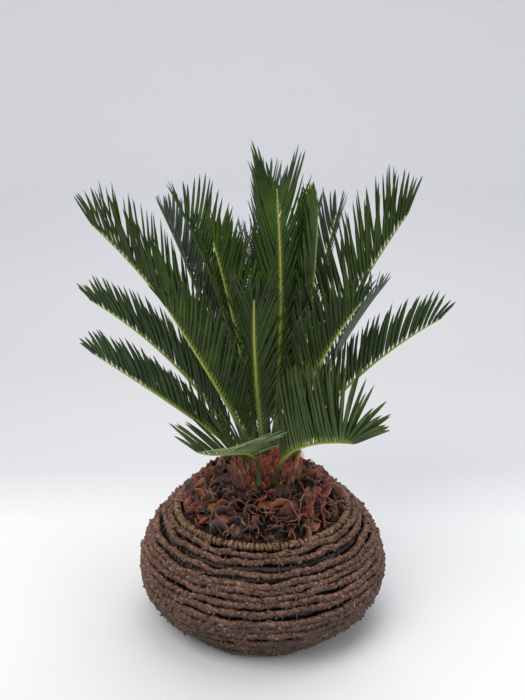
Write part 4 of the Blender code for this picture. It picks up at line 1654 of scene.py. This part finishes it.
@dataclass(frozen=True)
class Lamp:
    """One soft square light: where it is and points, its side in metres, its watts and its tint."""

    name: str
    place: tuple[float, float, float]
    size: float
    power: float
    tint: Colour
    target: tuple[float, float, float] = (0.0, 0.0, 0.22)

    def build(self) -> None:
        """Adds the light to the scene."""
        light = bpy.data.lights.new(self.name, "AREA")
        light.shape = "SQUARE"
        light.size = self.size
        light.energy = self.power
        light.color = self.tint
        obj = bpy.data.objects.new(self.name, light)
        obj.location = self.place
        obj.rotation_euler = (Vector(self.target) - Vector(self.place)).to_track_quat("-Z", "Y").to_euler()
        bpy.context.scene.collection.objects.link(obj)


@dataclass
class Studio:
    """Floor, backdrop, camera and soft light."""

    lamps: tuple[Lamp, ...] = (
        Lamp("key", (-0.9, -1.1, 2.1), 1.4, 26.0, (1.0, 0.98, 0.95)),
        Lamp("top", (0.3, 0.5, 2.3), 1.8, 24.0, (0.92, 0.95, 1.0)),
        Lamp("wash", (0.0, 2.3, 2.6), 2.4, 12.0, (0.97, 0.98, 1.0), (0.0, 2.6, 0.0)),
        Lamp("fill", (1.6, -1.3, 1.0), 1.4, 8.0, (0.95, 0.97, 1.0)),
    )
    air: tuple[float, float, float, float] = (0.93, 0.94, 1.0, 1.0)
    air_strength: float = 0.42
    sensor: float = 36.0
    focal_share: float = 1010.0 / 700.0
    camera_back: float = 1.02
    camera_height: float = 0.669
    pitch_down: float = 19.18
    floor_radius: float = 2.7
    cove: float = 0.9
    wall_height: float = 1.5
    segments: int = 96

    def build_sweep(self) -> Object:
        """A round floor that curves up into a low wall on every side, well outside the camera's path."""
        outline = [(self.floor_radius * share, 0.0) for share in (0.2, 0.5, 0.8, 1.0)]
        for turn in map(math.radians, range(6, 91, 6)):
            outline.append((self.floor_radius + self.cove * math.sin(turn), self.cove * (1.0 - math.cos(turn))))
        outline.append((self.floor_radius + self.cove, self.wall_height))
        open_above = tube_faces(len(outline), self.segments)[:-1]
        sweep = make_mesh("studio_sweep", lathe(outline, self.segments), open_above, None, StudioFinish().make())
        if sweep.data.polygons[0].normal.z < 0.0:
            sweep.data.flip_normals()
        return sweep

    def build(self) -> None:
        """Builds the whole studio."""
        scene = bpy.context.scene
        sweep = self.build_sweep()
        scene.collection.objects.link(sweep)
        scene.world = bpy.data.worlds.new("studio_air")
        scene.world.use_nodes = True
        background = scene.world.node_tree.nodes["Background"]
        background.inputs["Color"].default_value = self.air
        background.inputs["Strength"].default_value = self.air_strength
        for lamp in self.lamps:
            lamp.build()
        data = bpy.data.cameras.new("camera")
        data.sensor_width = self.sensor
        data.lens = self.focal_share * self.sensor
        camera = bpy.data.objects.new("camera", data)
        camera.location = (0.0, -self.camera_back, self.camera_height)
        camera.rotation_euler = (math.radians(90.0 - self.pitch_down), 0.0, 0.0)
        scene.collection.objects.link(camera)
        scene.camera = camera
        scene.view_settings.view_transform = "Standard"


def dress_soil() -> None:
    """Gives the packed soil its finish."""
    soil = bpy.data.objects["soil"]
    soil.data.materials.clear()
    soil.data.materials.append(EarthFinish().make())


def main() -> None:
    """Builds the studio and every piece of the plant and its pot."""
    logging.basicConfig(level=logging.INFO, format="%(name)s: %(message)s")
    noise.seed_set(SEED)
    Studio().build()
    scatter = Scatter()
    stems = Stems()
    Crown().build(scatter)
    Trunk().build(scatter, stems)
    BarkMulch().build(scatter, stems)
    VinePot().build(scatter, stems)
    dress_soil()


if __name__ == "__main__":
    main()
